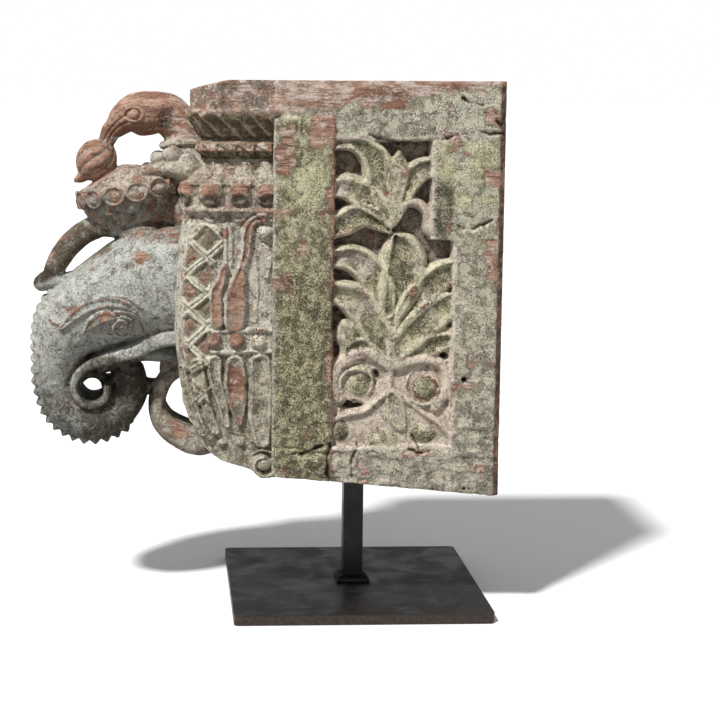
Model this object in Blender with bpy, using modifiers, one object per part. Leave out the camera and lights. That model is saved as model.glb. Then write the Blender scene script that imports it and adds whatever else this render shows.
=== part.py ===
"""A carved teak elephant corbel on a welded steel display stand.

The corbel is one piece of timber: a squared block with a leaf panel on each side, a capital of
mouldings, a body under a net, and an elephant's head with a curled trunk, a lotus and a bird.
The stand is a square plate, a square bar welded upright on it, and the weld. The bar is let into
a socket in the corbel's underside.

Metres, +Z up. The origin is the centre of the plate's underside. +X points at the wall that the
corbel was built against, and the two carved sides face -Y and +Y and mirror each other.
"""

import math

import bmesh
import bpy
import numpy as np

MM = 0.001

# Stand
PLATE_SIDE = 250 * MM
PLATE_THICKNESS = 10 * MM
PLATE_CORNER = 5 * MM
BAR_SIDE = 20 * MM
BAR_EXPOSED = 120 * MM
WELD_LEG = 7 * MM
STEEL_GAP = 0.3 * MM
SOCKET_DEPTH = 35 * MM
SOCKET_CLEARANCE = 0.3 * MM

# Block, seen from its carved side
WALL_X = 131 * MM
POST_FRONT_X = -89 * MM
POST_BACK_X = -31 * MM
BLOCK_HEIGHT = 397 * MM
BLOCK_WIDTH = 200 * MM
UNDERSIDE_RISE = 21 * MM
FRAME_SET_BACK = 2.5 * MM
WALL_EDGE_BEVEL = 6 * MM

# Sunk panel
PANEL_BACK_X = 82 * MM
SHOULDER_X = 59 * MM
SHOULDER_Z = 248 * MM
PANEL_FOOT_Z = 50 * MM
PANEL_HEAD_Z = 341 * MM
PANEL_DEPTH = 14 * MM

# Capital and body in front of the post: height, half width, and how far the front reaches
CAPITAL = (
    (397 * MM, 97.5 * MM, -163 * MM),
    (365 * MM, 97.5 * MM, -163 * MM),
    (341 * MM, 80 * MM, -151 * MM),
    (339 * MM, 84 * MM, -155 * MM),
    (331 * MM, 88 * MM, -158 * MM),
    (323 * MM, 78 * MM, -151 * MM),
    (312 * MM, 79 * MM, -153 * MM),
    (299 * MM, 89 * MM, -171 * MM),
    (297 * MM, 87 * MM, -170 * MM),
    (279 * MM, 87 * MM, -171 * MM),
    (275 * MM, 90 * MM, -171 * MM),
    (268 * MM, 85 * MM, -170 * MM),
)
BODY_HALF_WIDTH = 86 * MM
BODY_FRONT = (
    (262 * MM, -173 * MM),
    (225 * MM, -181 * MM),
    (188 * MM, -184 * MM),
    (140 * MM, -180 * MM),
    (92 * MM, -172 * MM),
    (62 * MM, -162 * MM),
    (30 * MM, -152 * MM),
)
# Underside of the body, and how far the worn top falls: distance forward of the post, and height
BELLY = (
    (0, 17 * MM),
    (12 * MM, 17 * MM),
    (20 * MM, 24 * MM),
    (55 * MM, 34 * MM),
    (72 * MM, 49 * MM),
    (80 * MM, 58 * MM),
)
TOP_FALL = ((25 * MM, 4 * MM), (41 * MM, 0), (60 * MM, -5 * MM), (74 * MM, -9 * MM))
CORNER_RADIUS = 27 * MM

# Elephant, bird and lotus
CROWN = (-227 * MM, 177 * MM)
HEAD_WIDTH = 148 * MM
TRUNK_WIDTH = 80 * MM
RIDGE_HEIGHT = 5 * MM
RIDGE_PITCH = 10.5 * MM
STEM_WIDTH = 26 * MM
BIRD_WIDTH = 38 * MM
FRUIT_DIAMETER = 41 * MM
FRUIT_LOBES = 9
LOTUS_LENGTH = 108 * MM
LOTUS_WIDTH = 102 * MM
LOTUS_PETALS = 14

# How finely the carving is worked, and how many faces the finished timber keeps
GRID_STEP = 2.4 * MM
VOXEL = 2.1 * MM
TIMBER_TRIANGLES = 9300
TRIM_STOCK = 4 * MM


def smooth_curve(points, count):
    """A Catmull-Rom curve through rows of numbers, as count rows evenly spaced along its first two."""
    given = np.array(points, float)
    ends = np.vstack([2 * given[0] - given[1], given, 2 * given[-1] - given[-2]])
    pieces = []
    for a, b, c, d in zip(ends, ends[1:], ends[2:], ends[3:]):
        t = np.linspace(0, 1, 24, endpoint=False)[:, None]
        pieces.append(
            0.5 * (2 * b + (c - a) * t + (2 * a - 5 * b + 4 * c - d) * t**2 + (3 * b - a - 3 * c + d) * t**3)
        )
    dense = np.vstack([*pieces, given[-1:]])
    run = np.concatenate([[0], np.cumsum(np.hypot(*np.diff(dense[:, :2], axis=0).T))])
    at = np.linspace(0, run[-1], count)
    return np.stack([np.interp(at, run, column) for column in dense.T], axis=1)


def ramp(value, low, high):
    """0 below low, 1 above high, and smooth between."""
    t = np.clip((value - low) / (high - low), 0, 1)
    return t * t * (3 - 2 * t)


def bump(x, z, at, radii, lift):
    """A pillow of elliptical outline."""
    q = ((x - at[0]) / radii[0]) ** 2 + ((z - at[1]) / radii[1]) ** 2
    return lift * np.sqrt(np.clip(1 - q, 0, 1))


def blade(x, z, spine, lift, hollow=0.35):
    """A carved leaf: rows of (x, z, half width) along its spine, high at its rim and hollow inside."""
    line = smooth_curve(spine, 28)
    nearest = np.full(x.shape, np.inf)
    for px, pz, half in line:
        nearest = np.minimum(nearest, np.hypot(x - px, z - pz) / max(half, 0.5 * MM))
    edge = np.clip((1 - nearest) / 0.2, 0, 1)
    inner = np.clip(1 - nearest / 0.75, 0, 1)
    return lift * np.sqrt(edge) * (1 - hollow * inner)


def volute(x, z, at, radius, lift, turn):
    """A curled leaf end: a round button inside a spiral band."""
    dx, dz = x - at[0], z - at[1]
    r = np.hypot(dx, dz) / radius
    angle = (turn * np.arctan2(dz, dx) / (2 * math.pi)) % 1
    band = 0.5 + 0.5 * np.cos(2 * math.pi * (r * 2.1 - angle))
    ring = np.where(r < 0.42, np.sqrt(np.clip(1 - (r / 0.5) ** 2, 0, 1)), band)
    return np.where(r < 1, lift * (0.25 + 0.75 * ring), 0)


def panel_leaves(x, z):
    """The palmettes, as height above the panel's floor. x from the panel's middle, z from its foot."""
    high = PANEL_DEPTH - 2 * MM
    leaves = (
        ((-1, 79, 4), (0, 122, 13), (6, 160, 17), (3, 200, 2)),
        ((6, 92, 5), (22, 128, 11), (40, 150, 11), (54, 174, 2)),
        ((6, 80, 5), (22, 103, 9), (40, 124, 8), (55, 138, 2)),
        ((8, 76, 4), (27, 87, 8), (46, 96, 7), (56, 92, 2)),
        ((-7, 92, 5), (-19, 131, 11), (-34, 160, 12), (-55, 181, 3)),
        ((-7, 82, 5), (-26, 110, 9), (-43, 130, 9), (-57, 143, 3)),
        ((-7, 78, 5), (-20, 90, 8), (-33, 96, 8), (-44, 99, 5)),
        ((-2, 206, 3), (-9, 236, 9), (-15, 262, 12), (-32, 286, 5)),
        ((0, 214, 3), (3, 246, 6), (7, 284, 2)),
        ((3, 212, 3), (12, 240, 7), (25, 261, 7), (35, 271, 3)),
        ((4, 203, 3), (14, 222, 7), (26, 224, 7), (31, 214, 3)),
        ((-5, 208, 3), (-21, 234, 9), (-39, 247, 9), (-55, 254, 3)),
        ((-5, 203, 3), (-21, 219, 8), (-38, 215, 10), (-53, 201, 3)),
        ((-4, 74, 4), (-4, 50, 9), (-10, 38, 6)),
        ((2, 70, 4), (14, 44, 7), (24, 32, 7), (46, 22, 3)),
        ((-10, 62, 4), (-24, 44, 7), (-30, 34, 5)),
    )
    height = np.zeros(x.shape)
    for leaf in leaves:
        height = np.maximum(height, blade(x, z, np.array(leaf) * MM, high))
    domes = (((-38, 14), (20, 17)), ((-8, 2), (20, 17)), ((30, 10), (20, 15)), ((-42, 105), (11, 12)))
    for at, radii in domes:
        height = np.maximum(height, bump(x, z, np.array(at) * MM, np.array(radii) * MM, high))
    for at, turn in (((-34, 58), -1), ((31, 55), 1)):
        height = np.maximum(height, volute(x, z, np.array(at) * MM, 24 * MM, high, turn))
    return height


def block_side(x, z):
    """Half width of the squared block at a point of its side."""
    half = np.full(x.shape, BLOCK_WIDTH / 2 - FRAME_SET_BACK)
    on_post = ramp(x, POST_BACK_X + 1 * MM, POST_BACK_X - 1 * MM) * ramp(z, 365 * MM, 362 * MM)
    half += FRAME_SET_BACK * on_post
    right = np.where(z > SHOULDER_Z, SHOULDER_X, PANEL_BACK_X)
    across = np.minimum(x - POST_BACK_X, right - x)
    inside = np.minimum(across, np.minimum(z - PANEL_FOOT_Z, PANEL_HEAD_Z - z))
    sunk = ramp(inside, -0.5 * MM, 2.5 * MM)
    middle = (POST_BACK_X + PANEL_BACK_X) / 2
    floor = BLOCK_WIDTH / 2 - PANEL_DEPTH
    carved = floor + panel_leaves(x - middle, z - PANEL_FOOT_Z)
    half = half * (1 - sunk) + np.minimum(carved, half) * sunk
    plank = ramp(x, POST_BACK_X, POST_BACK_X - 3 * MM) * ramp(np.abs(z - 42 * MM), 3 * MM, 0)
    half -= 3 * MM * plank
    half -= np.clip(x - (WALL_X - WALL_EDGE_BEVEL), 0, WALL_EDGE_BEVEL)
    return half


def net(a, z):
    """A net of cords over the body, with a raised lozenge in each mesh. a runs forward from the post."""
    across, tall = 34 * MM, 36 * MM
    p = (a - 63 * MM) / across
    q = (z - 247 * MM) / tall
    first = np.abs((p + q + 0.5) % 1 - 0.5)
    second = np.abs((p - q + 0.5) % 1 - 0.5)
    cord = ramp(0.5 - np.maximum(first, second), 0.12, 0.04)
    lozenge = ramp(0.5 - np.maximum(first, second), 0.16, 0.3)
    return 3.5 * MM * cord + 2 * MM * lozenge


def body_carving(a, z, corner):
    """Carving of body and capital, outwards. a runs forward from the post, corner is where it turns."""
    out = np.zeros(a.shape)
    fluted = 2.2 * MM * np.abs(np.sin(math.pi * a / (9 * MM))) * ramp(z, 371 * MM, 373 * MM)
    out += fluted * ramp(a, corner, corner + 8 * MM)
    lobes = np.abs(np.sin(math.pi * a / (22 * MM)))
    out += 3 * MM * lobes * ramp(z, 342 * MM, 350 * MM) * ramp(z, 368 * MM, 360 * MM)
    out += 3 * MM * lobes * ramp(z, 328 * MM, 334 * MM) * ramp(z, 341 * MM, 337 * MM)
    out += 3.5 * MM * lobes * ramp(z, 300 * MM, 306 * MM) * ramp(z, 323 * MM, 316 * MM)
    pitch = 27 * MM
    along = (a + 13 * MM) % pitch - pitch / 2
    out += bump(along, z, (0, 289 * MM), (12 * MM, 10 * MM), 9 * MM)
    fringe = 268 * MM - 5 * MM * np.cos(2 * math.pi * a / pitch)
    out += 3 * MM * ramp(z, fringe - 1.5 * MM, fringe + 1.5 * MM) * ramp(z, 277 * MM, 274 * MM)

    below = ramp(z, 264 * MM, 260 * MM)
    border = ramp(np.abs(a - corner - 8 * MM), 5 * MM, 3 * MM)
    out += 3 * MM * border * below * ramp(z, 55 * MM, 60 * MM)
    netted = ramp(a, 57 * MM, 59 * MM) * ramp(a, corner + 1 * MM, corner - 1 * MM)
    netted = netted * below * ramp(z, 80 * MM, 84 * MM)
    out += net(a, z) * netted
    for rib in (36 * MM, 43 * MM):
        out += 2.5 * MM * ramp(np.abs(a - rib), 3 * MM, 1.5 * MM) * below * ramp(z, 222 * MM, 226 * MM)

    raised = np.zeros(a.shape)
    blades = (
        (((51, 238, 2), (51, 205, 3), (52, 172, 7)), 6),
        (((30, 228, 3), (30, 205, 6), (30, 172, 11)), 7),
        (((6, 268, 4), (20, 257, 5), (24, 236, 4), (27, 220, 2)), 7),
        (((12, 238, 3), (11, 222, 8), (8, 200, 3)), 4),
        (((66, 136, 6), (62, 95, 9), (44, 52, 6)), 6),
        (((48, 136, 6), (43, 95, 9), (30, 48, 5)), 6),
        (((30, 135, 7), (29, 95, 9), (24, 46, 5)), 7),
        (((11, 135, 8), (11, 95, 10), (14, 52, 6)), 6),
    )
    for spine, lift in blades:
        raised = np.maximum(raised, blade(a, z, np.array(spine) * MM, lift * MM, 0.3))
    raised = np.maximum(raised, bump(a, z, (9 * MM, 249 * MM), (9 * MM, 9 * MM), 7 * MM))
    belt = ramp(np.abs(z - 150 * MM), 13.5 * MM, 11.5 * MM) * ramp(a, 64 * MM, 60 * MM)
    raised = np.maximum(raised, 4 * MM * belt)
    for at in (9 * MM, 31 * MM, 54 * MM):
        raised = np.maximum(raised, 4 * MM * belt + bump(a, z, (at, 150 * MM), (9 * MM, 10 * MM), 6 * MM))
    raised = np.maximum(raised, volute(a, z, (6 * MM, 36 * MM), 15 * MM, 11 * MM, -1))
    return out + raised


def front_columns():
    """The columns in front of the post: share along the side, angle round the corner, share across."""
    side = np.linspace(0, 1, int(68 * MM / GRID_STEP))
    arc = np.linspace(0, math.pi / 2, int(1.5 * CORNER_RADIUS / GRID_STEP))[1:]
    face = np.linspace(0, 1, int(60 * MM / GRID_STEP))[1:]
    corner, across = len(arc), len(face)
    shares = np.concatenate([side, np.ones(corner + across)])
    angles = np.concatenate([np.zeros(len(side)), arc, np.full(across, math.pi / 2)])
    spans = np.concatenate([np.zeros(len(side) + corner), face])
    return shares, angles, spans


def front_place(z, columns, start):
    """Where each column stands at a height: x, half width, run round, and where the run turns."""
    shares, angles, spans = columns
    rows = np.array(sorted([(h, BODY_HALF_WIDTH, f) for h, f in BODY_FRONT] + list(CAPITAL)))
    reach = np.interp(z, rows[:, 0], rows[:, 2])
    half = np.interp(z, rows[:, 0], rows[:, 1])
    turn = reach + CORNER_RADIUS
    flat = half - CORNER_RADIUS
    x = start + shares * (turn - start) - np.sin(angles) * CORNER_RADIUS
    y = flat * (1 - spans) + CORNER_RADIUS * np.cos(angles)
    run = shares * (start - turn) + angles * CORNER_RADIUS + spans * flat
    return x, y, run, start - turn


def timber_column():
    """The block, capital and body in one: outlines stacked from the underside to the top."""
    belly, fall = np.array(BELLY), np.array(TOP_FALL)
    top, back = BLOCK_HEIGHT + TRIM_STOCK, WALL_X + TRIM_STOCK
    rows = int(BLOCK_HEIGHT / GRID_STEP)
    soft = 0.4 * MM
    start = POST_FRONT_X - soft
    block_x = np.append(np.arange(back, start + 2 * soft, -GRID_STEP), start + 2 * soft)
    columns = front_columns()
    angles = columns[1]
    foot_x = front_place(np.full(len(angles), belly[-1, 1]), columns, start)[0]
    head_x = front_place(np.full(len(angles), BLOCK_HEIGHT), columns, start)[0]
    low = np.interp(start - foot_x, belly[:, 0], belly[:, 1])
    high = BLOCK_HEIGHT + np.interp(start - head_x, fall[:, 0], fall[:, 1])
    outlines = []
    for t in np.linspace(0, 1, rows):
        under = underside_at(block_x)
        z = under + t * (top - under)
        z_front = low + t * (high - low)
        x, y, run, corner = front_place(z_front, columns, start)
        out = body_carving(run, z_front, corner)
        x, y = x - np.sin(angles) * out, y + np.cos(angles) * out
        near = np.column_stack([
            np.concatenate([block_x, x]),
            -np.concatenate([block_side(block_x, z), y]),
            np.concatenate([z, z_front]),
        ])
        outlines.append(np.vstack([near, near[-2::-1] * (1, -1, 1)]))
    return loft(outlines, mirrored=True)


def loft(outlines, mirrored=False):
    """Points and faces of a solid through closed outlines of equal length.

    The two ends of a mirrored one are closed in strips.
    """
    count = len(outlines[0])
    points = np.vstack(outlines)
    faces = []
    for level in range(len(outlines) - 1):
        for i in range(count):
            j = (i + 1) % count
            low, high = level * count, (level + 1) * count
            faces.append((low + i, low + j, high + j, high + i))
    first, last = tuple(range(count)), tuple(range(len(points) - count, len(points)))
    if not mirrored:
        return points, [*faces, first[::-1], last]
    for i in range(count // 2):
        j = count - 1 - i
        faces.append(tuple(dict.fromkeys((first[i], first[j], first[j - 1], first[i + 1]))))
        faces.append(tuple(dict.fromkeys((last[i], last[i + 1], last[j - 1], last[j]))))
    return points, faces


def sweep(stations, sides=16, samples=40, squareness=2.3, ridged=None, y=0.0):
    """A limb along a path of (x, z, radius, half width), with rounded ends.

    Cross ridges run over its outer edge between two shares of its length.
    """
    path = smooth_curve(np.array(stations, float) * MM, samples)
    tangent = np.gradient(path[:, :2], axis=0)
    tangent /= np.hypot(*tangent.T)[:, None]
    swell = np.zeros(len(path))
    if ridged:
        outer = path[:, :2] + np.stack([tangent[:, 1], -tangent[:, 0]], axis=1) * path[:, 2:3]
        run = np.concatenate([[0], np.cumsum(np.hypot(*np.diff(outer, axis=0).T))])
        share = np.linspace(0, 1, len(path))
        tooth = 1 - np.abs(2 * ((run / RIDGE_PITCH) % 1) - 1)
        swell = RIDGE_HEIGHT * tooth * ramp(share, ridged[0] - 0.02, ridged[0])
        swell = swell * ramp(share, ridged[1] + 0.02, ridged[1])
    rows = [[*p, *t, s] for p, t, s in zip(path, tangent, swell)]
    for end, sign in ((0, -1), (-1, 1)):
        base = rows[end]
        for degrees in (35, 62, 82):
            lean = math.radians(degrees)
            reach = sign * min(base[2], base[3]) * math.sin(lean)
            dome = [base[0] + base[4] * reach, base[1] + base[5] * reach]
            dome += [base[2] * math.cos(lean), base[3] * math.cos(lean), base[4], base[5], 0]
            rows = rows + [dome] if sign > 0 else [dome] + rows
    outlines = []
    angle = np.linspace(0, 2 * math.pi, sides, endpoint=False)
    c, s = np.cos(angle), np.sin(angle)
    c = np.sign(c) * np.abs(c) ** (2 / squareness)
    s = np.sign(s) * np.abs(s) ** (2 / squareness)
    for px, pz, radius, half, tx, tz, lift in rows:
        across = radius * c - lift * ramp(-c, 0.7, 0.96)
        outlines.append(np.stack([px - tz * across, y + half * s, pz + tx * across], axis=1))
    return loft(outlines)


def ellipsoid(at, radii):
    """A ball of three radii."""
    ball = bmesh.new()
    bmesh.ops.create_icosphere(ball, subdivisions=3, radius=1)
    points = np.array([v.co for v in ball.verts]) * radii
    faces = [tuple(v.index for v in f.verts) for f in ball.faces]
    ball.free()
    return points + at, faces


def placed(shape, dx, dz):
    """A shape moved in the side view."""
    points, faces = shape
    return points + (dx, 0, dz), faces


def both_sides(shape):
    """A shape and its mirror image on the far side."""
    points, faces = shape
    return [shape, (points * (1, -1, 1), [f[::-1] for f in faces])]


def face_marks(x, z):
    """The eye, its lids, the leaf before it and the leaf on the brow, as relief. x and z from the crown."""
    lid = np.array(((-66, -22, 2), (-45, -8, 3), (-20, 6, 6), (4, 5, 4), (20, -14, 2))) * MM
    leaf = np.array(((-42, -18, 2), (-27, -6, 8), (-15, 0, 5))) * MM
    brow = np.array(((-42, 22, 2), (-27, 36, 8), (-12, 45, 3))) * MM
    marks = np.maximum(blade(x, z, lid, 3 * MM, 0.5), blade(x, z, leaf, 4 * MM, 0.2))
    marks = np.maximum(marks, volute(x, z, (-5 * MM, -17 * MM), 16 * MM, 4 * MM, 1))
    return np.maximum(marks, blade(x, z, brow, 1.5 * MM, 0.6))


def elephant():
    """Head and ridged trunk in one sweep, rolled into a volute, with the lip, throat and curled lower jaw."""
    half, head = TRUNK_WIDTH / 2 / MM, HEAD_WIDTH / 2 / MM
    trunk = (
        (84, 20, 58, head - 4), (50, 22, 57, head), (24, 20, 56, head), (-3, 10, 50, head),
        (-36, -7, 42, head - 8), (-58, -26, 37, 54), (-69, -54, 25, half + 4), (-70, -80, 21.5, half),
        (-61, -103, 21.5, half), (-39, -115, 21.5, half), (-15, -108, 21, half - 4),
        (-1, -90, 19, half - 10), (1, -72, 16, half - 16),
    )
    points, faces = sweep(trunk, sides=110, samples=230, squareness=2.5, ridged=(0.44, 0.88))
    facing = ramp(np.abs(points[:, 1]), 38 * MM, 56 * MM)
    points[:, 1] += np.sign(points[:, 1]) * face_marks(points[:, 0], points[:, 2]) * facing
    parts = [(points, faces)]
    lip = (
        (52, -27, 9, 56), (33, -30, 9, 54), (3, -44, 8, 50), (-25, -53, 7, 46), (-41, -61, 5, half + 2),
        (-50, -72, 4, half + 1), (-50, -84, 4, half), (-41, -94, 4, half), (-30, -94, 4, half),
        (-22, -86, 4, half - 1), (-22, -76, 4, half - 3),
    )
    parts.append(sweep(lip, sides=20, samples=70, squareness=3.5))
    ring = [(-36 + 13 * math.cos(a), -85 + 13 * math.sin(a), 6, 9) for a in np.linspace(0, 2 * math.pi, 13)]
    parts.append(sweep(ring, sides=12, samples=40))
    throat = ((-26, -62, 9, 22), (-10, -56, 10, 24), (14, -50, 8, 28), (44, -48, 12, 32))
    parts.append(sweep(throat, sides=12, samples=14))
    web = (
        (2, -64, 9, 20), (6, -80, 12, 20), (20, -84, 8, 16), (36, -80, 7, 16), (42, -64, 11, 20),
        (48, -50, 12, 24),
    )
    parts.append(sweep(web, sides=12, samples=30))
    jaw = (
        (62, -66, 6, 26), (46, -69, 7, 28), (34, -82, 8, 30), (29, -101, 9, 32), (36, -119, 12, 34),
        (52, -131, 14, 36), (70, -137, 15, 38), (90, -130, 16, 38),
    )
    parts.append(sweep(jaw, sides=16, samples=44, squareness=3))
    return [placed(part, *CROWN) for part in parts]


def lotus():
    """The flower on the crown: a bowl under a drooping whorl of rimmed petals, and its curved stem."""
    tilt = math.radians(10.5)
    centre = np.array((-226 * MM, 0, 287 * MM))
    turn = np.linspace(0, 2 * math.pi, LOTUS_PETALS * 8, endpoint=False)
    petal = np.abs(np.cos(turn * LOTUS_PETALS / 2))
    bowl = ((-40, 0.10), (-38.5, 0.30), (-34, 0.52), (-27, 0.70), (-18, 0.83), (-9, 0.88), (-3, 0.87))
    whorl = ((-2, 0.96), (2, 0.98), (6, 0.93), (13, 0.75), (20, 0.48), (26, 0.22), (28, 0.06))
    outlines = []
    for rows, scallop in ((bowl, 0), (whorl, 1)):
        for height, share in rows:
            lobed = share * (1 + 0.08 * scallop * petal * share) * np.ones(len(turn))
            z = height - 4 * scallop * petal * share + np.zeros(len(turn))
            x = lobed * LOTUS_LENGTH / 2 * np.cos(turn)
            outlines.append(np.stack([x, lobed * LOTUS_WIDTH / 2 * np.sin(turn), z * MM], axis=1))
    points, faces = loft(outlines)
    c, s = math.cos(tilt), math.sin(tilt)
    x, z = points[:, 0] * c - points[:, 2] * s, points[:, 0] * s + points[:, 2] * c
    flower = (np.stack([x, points[:, 1], z], axis=1) + centre, faces)
    half = STEM_WIDTH / 2 / MM
    stem = (
        (-240, 256, 15, half + 8), (-252, 254, 12, half + 2), (-268, 248, 11.8, half),
        (-284, 235, 11.8, half), (-295, 220, 11, half), (-301, 207, 10, half),
    )
    foot = ((-312, 197, 9, half + 1), (-304, 200, 10, half + 2), (-292, 198, 9, half), (-280, 200, 9, half))
    link = ((-224, 250, 14, 34), (-206, 244, 16, 44))
    back = ((-206, 272, 18, 22), (-168, 268, 22, 26))
    limbs = [sweep(link, samples=8), sweep(back, samples=8)]
    return [flower, sweep(stem, samples=36), sweep(foot, samples=12), *limbs]


def bird():
    """The bird: collar, arched neck, head and hooked beak, with its eyes and the ribbed fruit it holds."""
    half = BIRD_WIDTH / 2 / MM
    neck = (
        (-160, 308, 30, 34), (-168, 330, 21, half + 4), (-173, 347, 19.5, half - 1),
        (-179, 356, 20, half - 1), (-187, 363, 20.5, half - 1), (-196, 365.5, 20.5, half),
        (-207, 364.5, 22, half), (-220, 363, 21, half), (-230, 359, 16.5, half - 2),
        (-237, 352.5, 12.3, half - 6), (-243, 346, 10, half - 9), (-248, 336, 8, half - 11),
    )
    parts = [sweep(neck, sides=24, samples=70, squareness=2.1)]
    collar = ((-194, 334, 4, 20), (-178, 336, 5, 24), (-160, 337, 5, 26))
    parts.append(sweep(collar, samples=14))
    for at, across, lift in ((-195, 17, 323), (-177, 24, 324), (-160, 28, 321)):
        parts += both_sides(ellipsoid((at * MM, -across * MM, lift * MM), (9 * MM, 7 * MM, 7 * MM)))
    shoulders = ((-206, 309, 9, 30), (-188, 312, 13, 38), (-164, 310, 18, 46))
    parts.append(sweep(shoulders, samples=14))
    parts += both_sides(ellipsoid((-219 * MM, -(half - 2) * MM, 364 * MM), (5.5 * MM, 4 * MM, 5.5 * MM)))

    radius = FRUIT_DIAMETER / 2
    turn = np.linspace(0, 2 * math.pi, FRUIT_LOBES * 8, endpoint=False)
    lobes = 1 + 0.05 * np.abs(np.cos(turn * FRUIT_LOBES / 2))
    outlines = []
    for level in np.linspace(0.97, 0.03, 16):
        share = math.sin(math.pi * level) ** 0.55
        lobed = radius * share * lobes * 0.96
        along = (1 - 2 * level) * radius * 1.1
        height = np.full(len(turn), along)
        outlines.append(np.stack([lobed * np.cos(turn), lobed * np.sin(turn), height], axis=1))
    points, faces = loft(outlines)
    lean = math.radians(-38)
    c, s = math.cos(lean), math.sin(lean)
    x, z = points[:, 0] * c - points[:, 2] * s, points[:, 0] * s + points[:, 2] * c
    parts.append((np.stack([x, points[:, 1], z], axis=1) + (-257.5 * MM, 0, 318.5 * MM), faces))
    parts.append(sweep(((-264, 310, 10, 10), (-272, 302, 6, 6), (-278, 298, 3, 3)), samples=8))
    return parts


def joined(name, shapes, material, collection):
    """One object from lists of points and faces."""
    points, faces, start = [], [], 0
    for shape_points, shape_faces in shapes:
        points.append(shape_points)
        faces += [tuple(i + start for i in face) for face in shape_faces]
        start += len(shape_points)
    mesh = bpy.data.meshes.new(name)
    mesh.from_pydata(np.vstack(points).tolist(), [], faces)
    mesh.materials.append(material)
    obj = bpy.data.objects.new(name, mesh)
    collection.objects.link(obj)
    return obj


def apply_modifiers(obj):
    """Turns an object's modifiers into its mesh."""
    evaluated = obj.evaluated_get(bpy.context.evaluated_depsgraph_get())
    mesh = bpy.data.meshes.new_from_object(evaluated)
    obj.modifiers.clear()
    obj.data = mesh


def box(name, low, high, material, collection):
    """A box between two corners, with its place in its mesh."""
    mesh = bpy.data.meshes.new(name)
    shape = bmesh.new()
    bmesh.ops.create_cube(shape, size=1)
    low, high = np.array(low), np.array(high)
    for vert in shape.verts:
        vert.co = (low + high) / 2 + np.array(vert.co) * (high - low)
    shape.to_mesh(mesh)
    shape.free()
    if material:
        mesh.materials.append(material)
    obj = bpy.data.objects.new(name, mesh)
    collection.objects.link(obj)
    return obj


def cutter(name, low, high, collection):
    """A box that only cuts."""
    obj = box(name, low, high, None, collection)
    obj.hide_render = True
    obj.display_type = "WIRE"
    return obj


def boolean(obj, other, operation):
    """A Boolean with the exact solver, left on the object."""
    modifier = obj.modifiers.new(operation.title(), "BOOLEAN")
    modifier.operation = operation
    modifier.solver = "EXACT"
    modifier.object = other


def material_of(name, colour, roughness, metallic=0.0):
    """A plain Principled material."""
    material = bpy.data.materials.new(name)
    material.use_nodes = True
    shader = material.node_tree.nodes["Principled BSDF"]
    shader.inputs["Base Color"].default_value = (*colour, 1)
    shader.inputs["Roughness"].default_value = roughness
    shader.inputs["Metallic"].default_value = metallic
    return material


def underside_at(x):
    """Height of the block's underside above its heel."""
    return (WALL_X - x) / (WALL_X - POST_FRONT_X) * UNDERSIDE_RISE


def heel_height():
    """How high the corbel's heel stands, so that the underside meets the exposed bar."""
    return PLATE_THICKNESS + BAR_EXPOSED - underside_at(0)


def make_corbel(collection, cutters):
    """The timber: every carved form fused, thinned to few faces, then sawn flat and bored for the bar."""
    wood = material_of("weathered_teak", (0.42, 0.37, 0.27), 0.85)
    shapes = [timber_column(), *elephant(), *lotus(), *bird()]
    corbel = joined("corbel", shapes, wood, collection)
    corbel.location.z = heel_height()
    fuse = corbel.modifiers.new("Fuse", "REMESH")
    fuse.mode = "VOXEL"
    fuse.voxel_size = VOXEL
    bpy.context.view_layer.update()
    apply_modifiers(corbel)
    corbel.data.calc_loop_triangles()
    thin = corbel.modifiers.new("Thin", "DECIMATE")
    thin.ratio = TIMBER_TRIANGLES / len(corbel.data.loop_triangles)
    bpy.context.view_layer.update()
    apply_modifiers(corbel)

    heel = heel_height()
    sawn = cutter("sawn_faces", (-1, -BLOCK_WIDTH, 0), (WALL_X, BLOCK_WIDTH, heel + BLOCK_HEIGHT), cutters)
    boolean(corbel, sawn, "INTERSECT")
    side = BAR_SIDE / 2 + SOCKET_CLEARANCE
    socket_top = heel + underside_at(0) + SOCKET_DEPTH + SOCKET_CLEARANCE
    socket = cutter("bar_socket", (-side, -side, PLATE_THICKNESS), (side, side, socket_top), cutters)
    boolean(corbel, socket, "DIFFERENCE")
    return corbel


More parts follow.
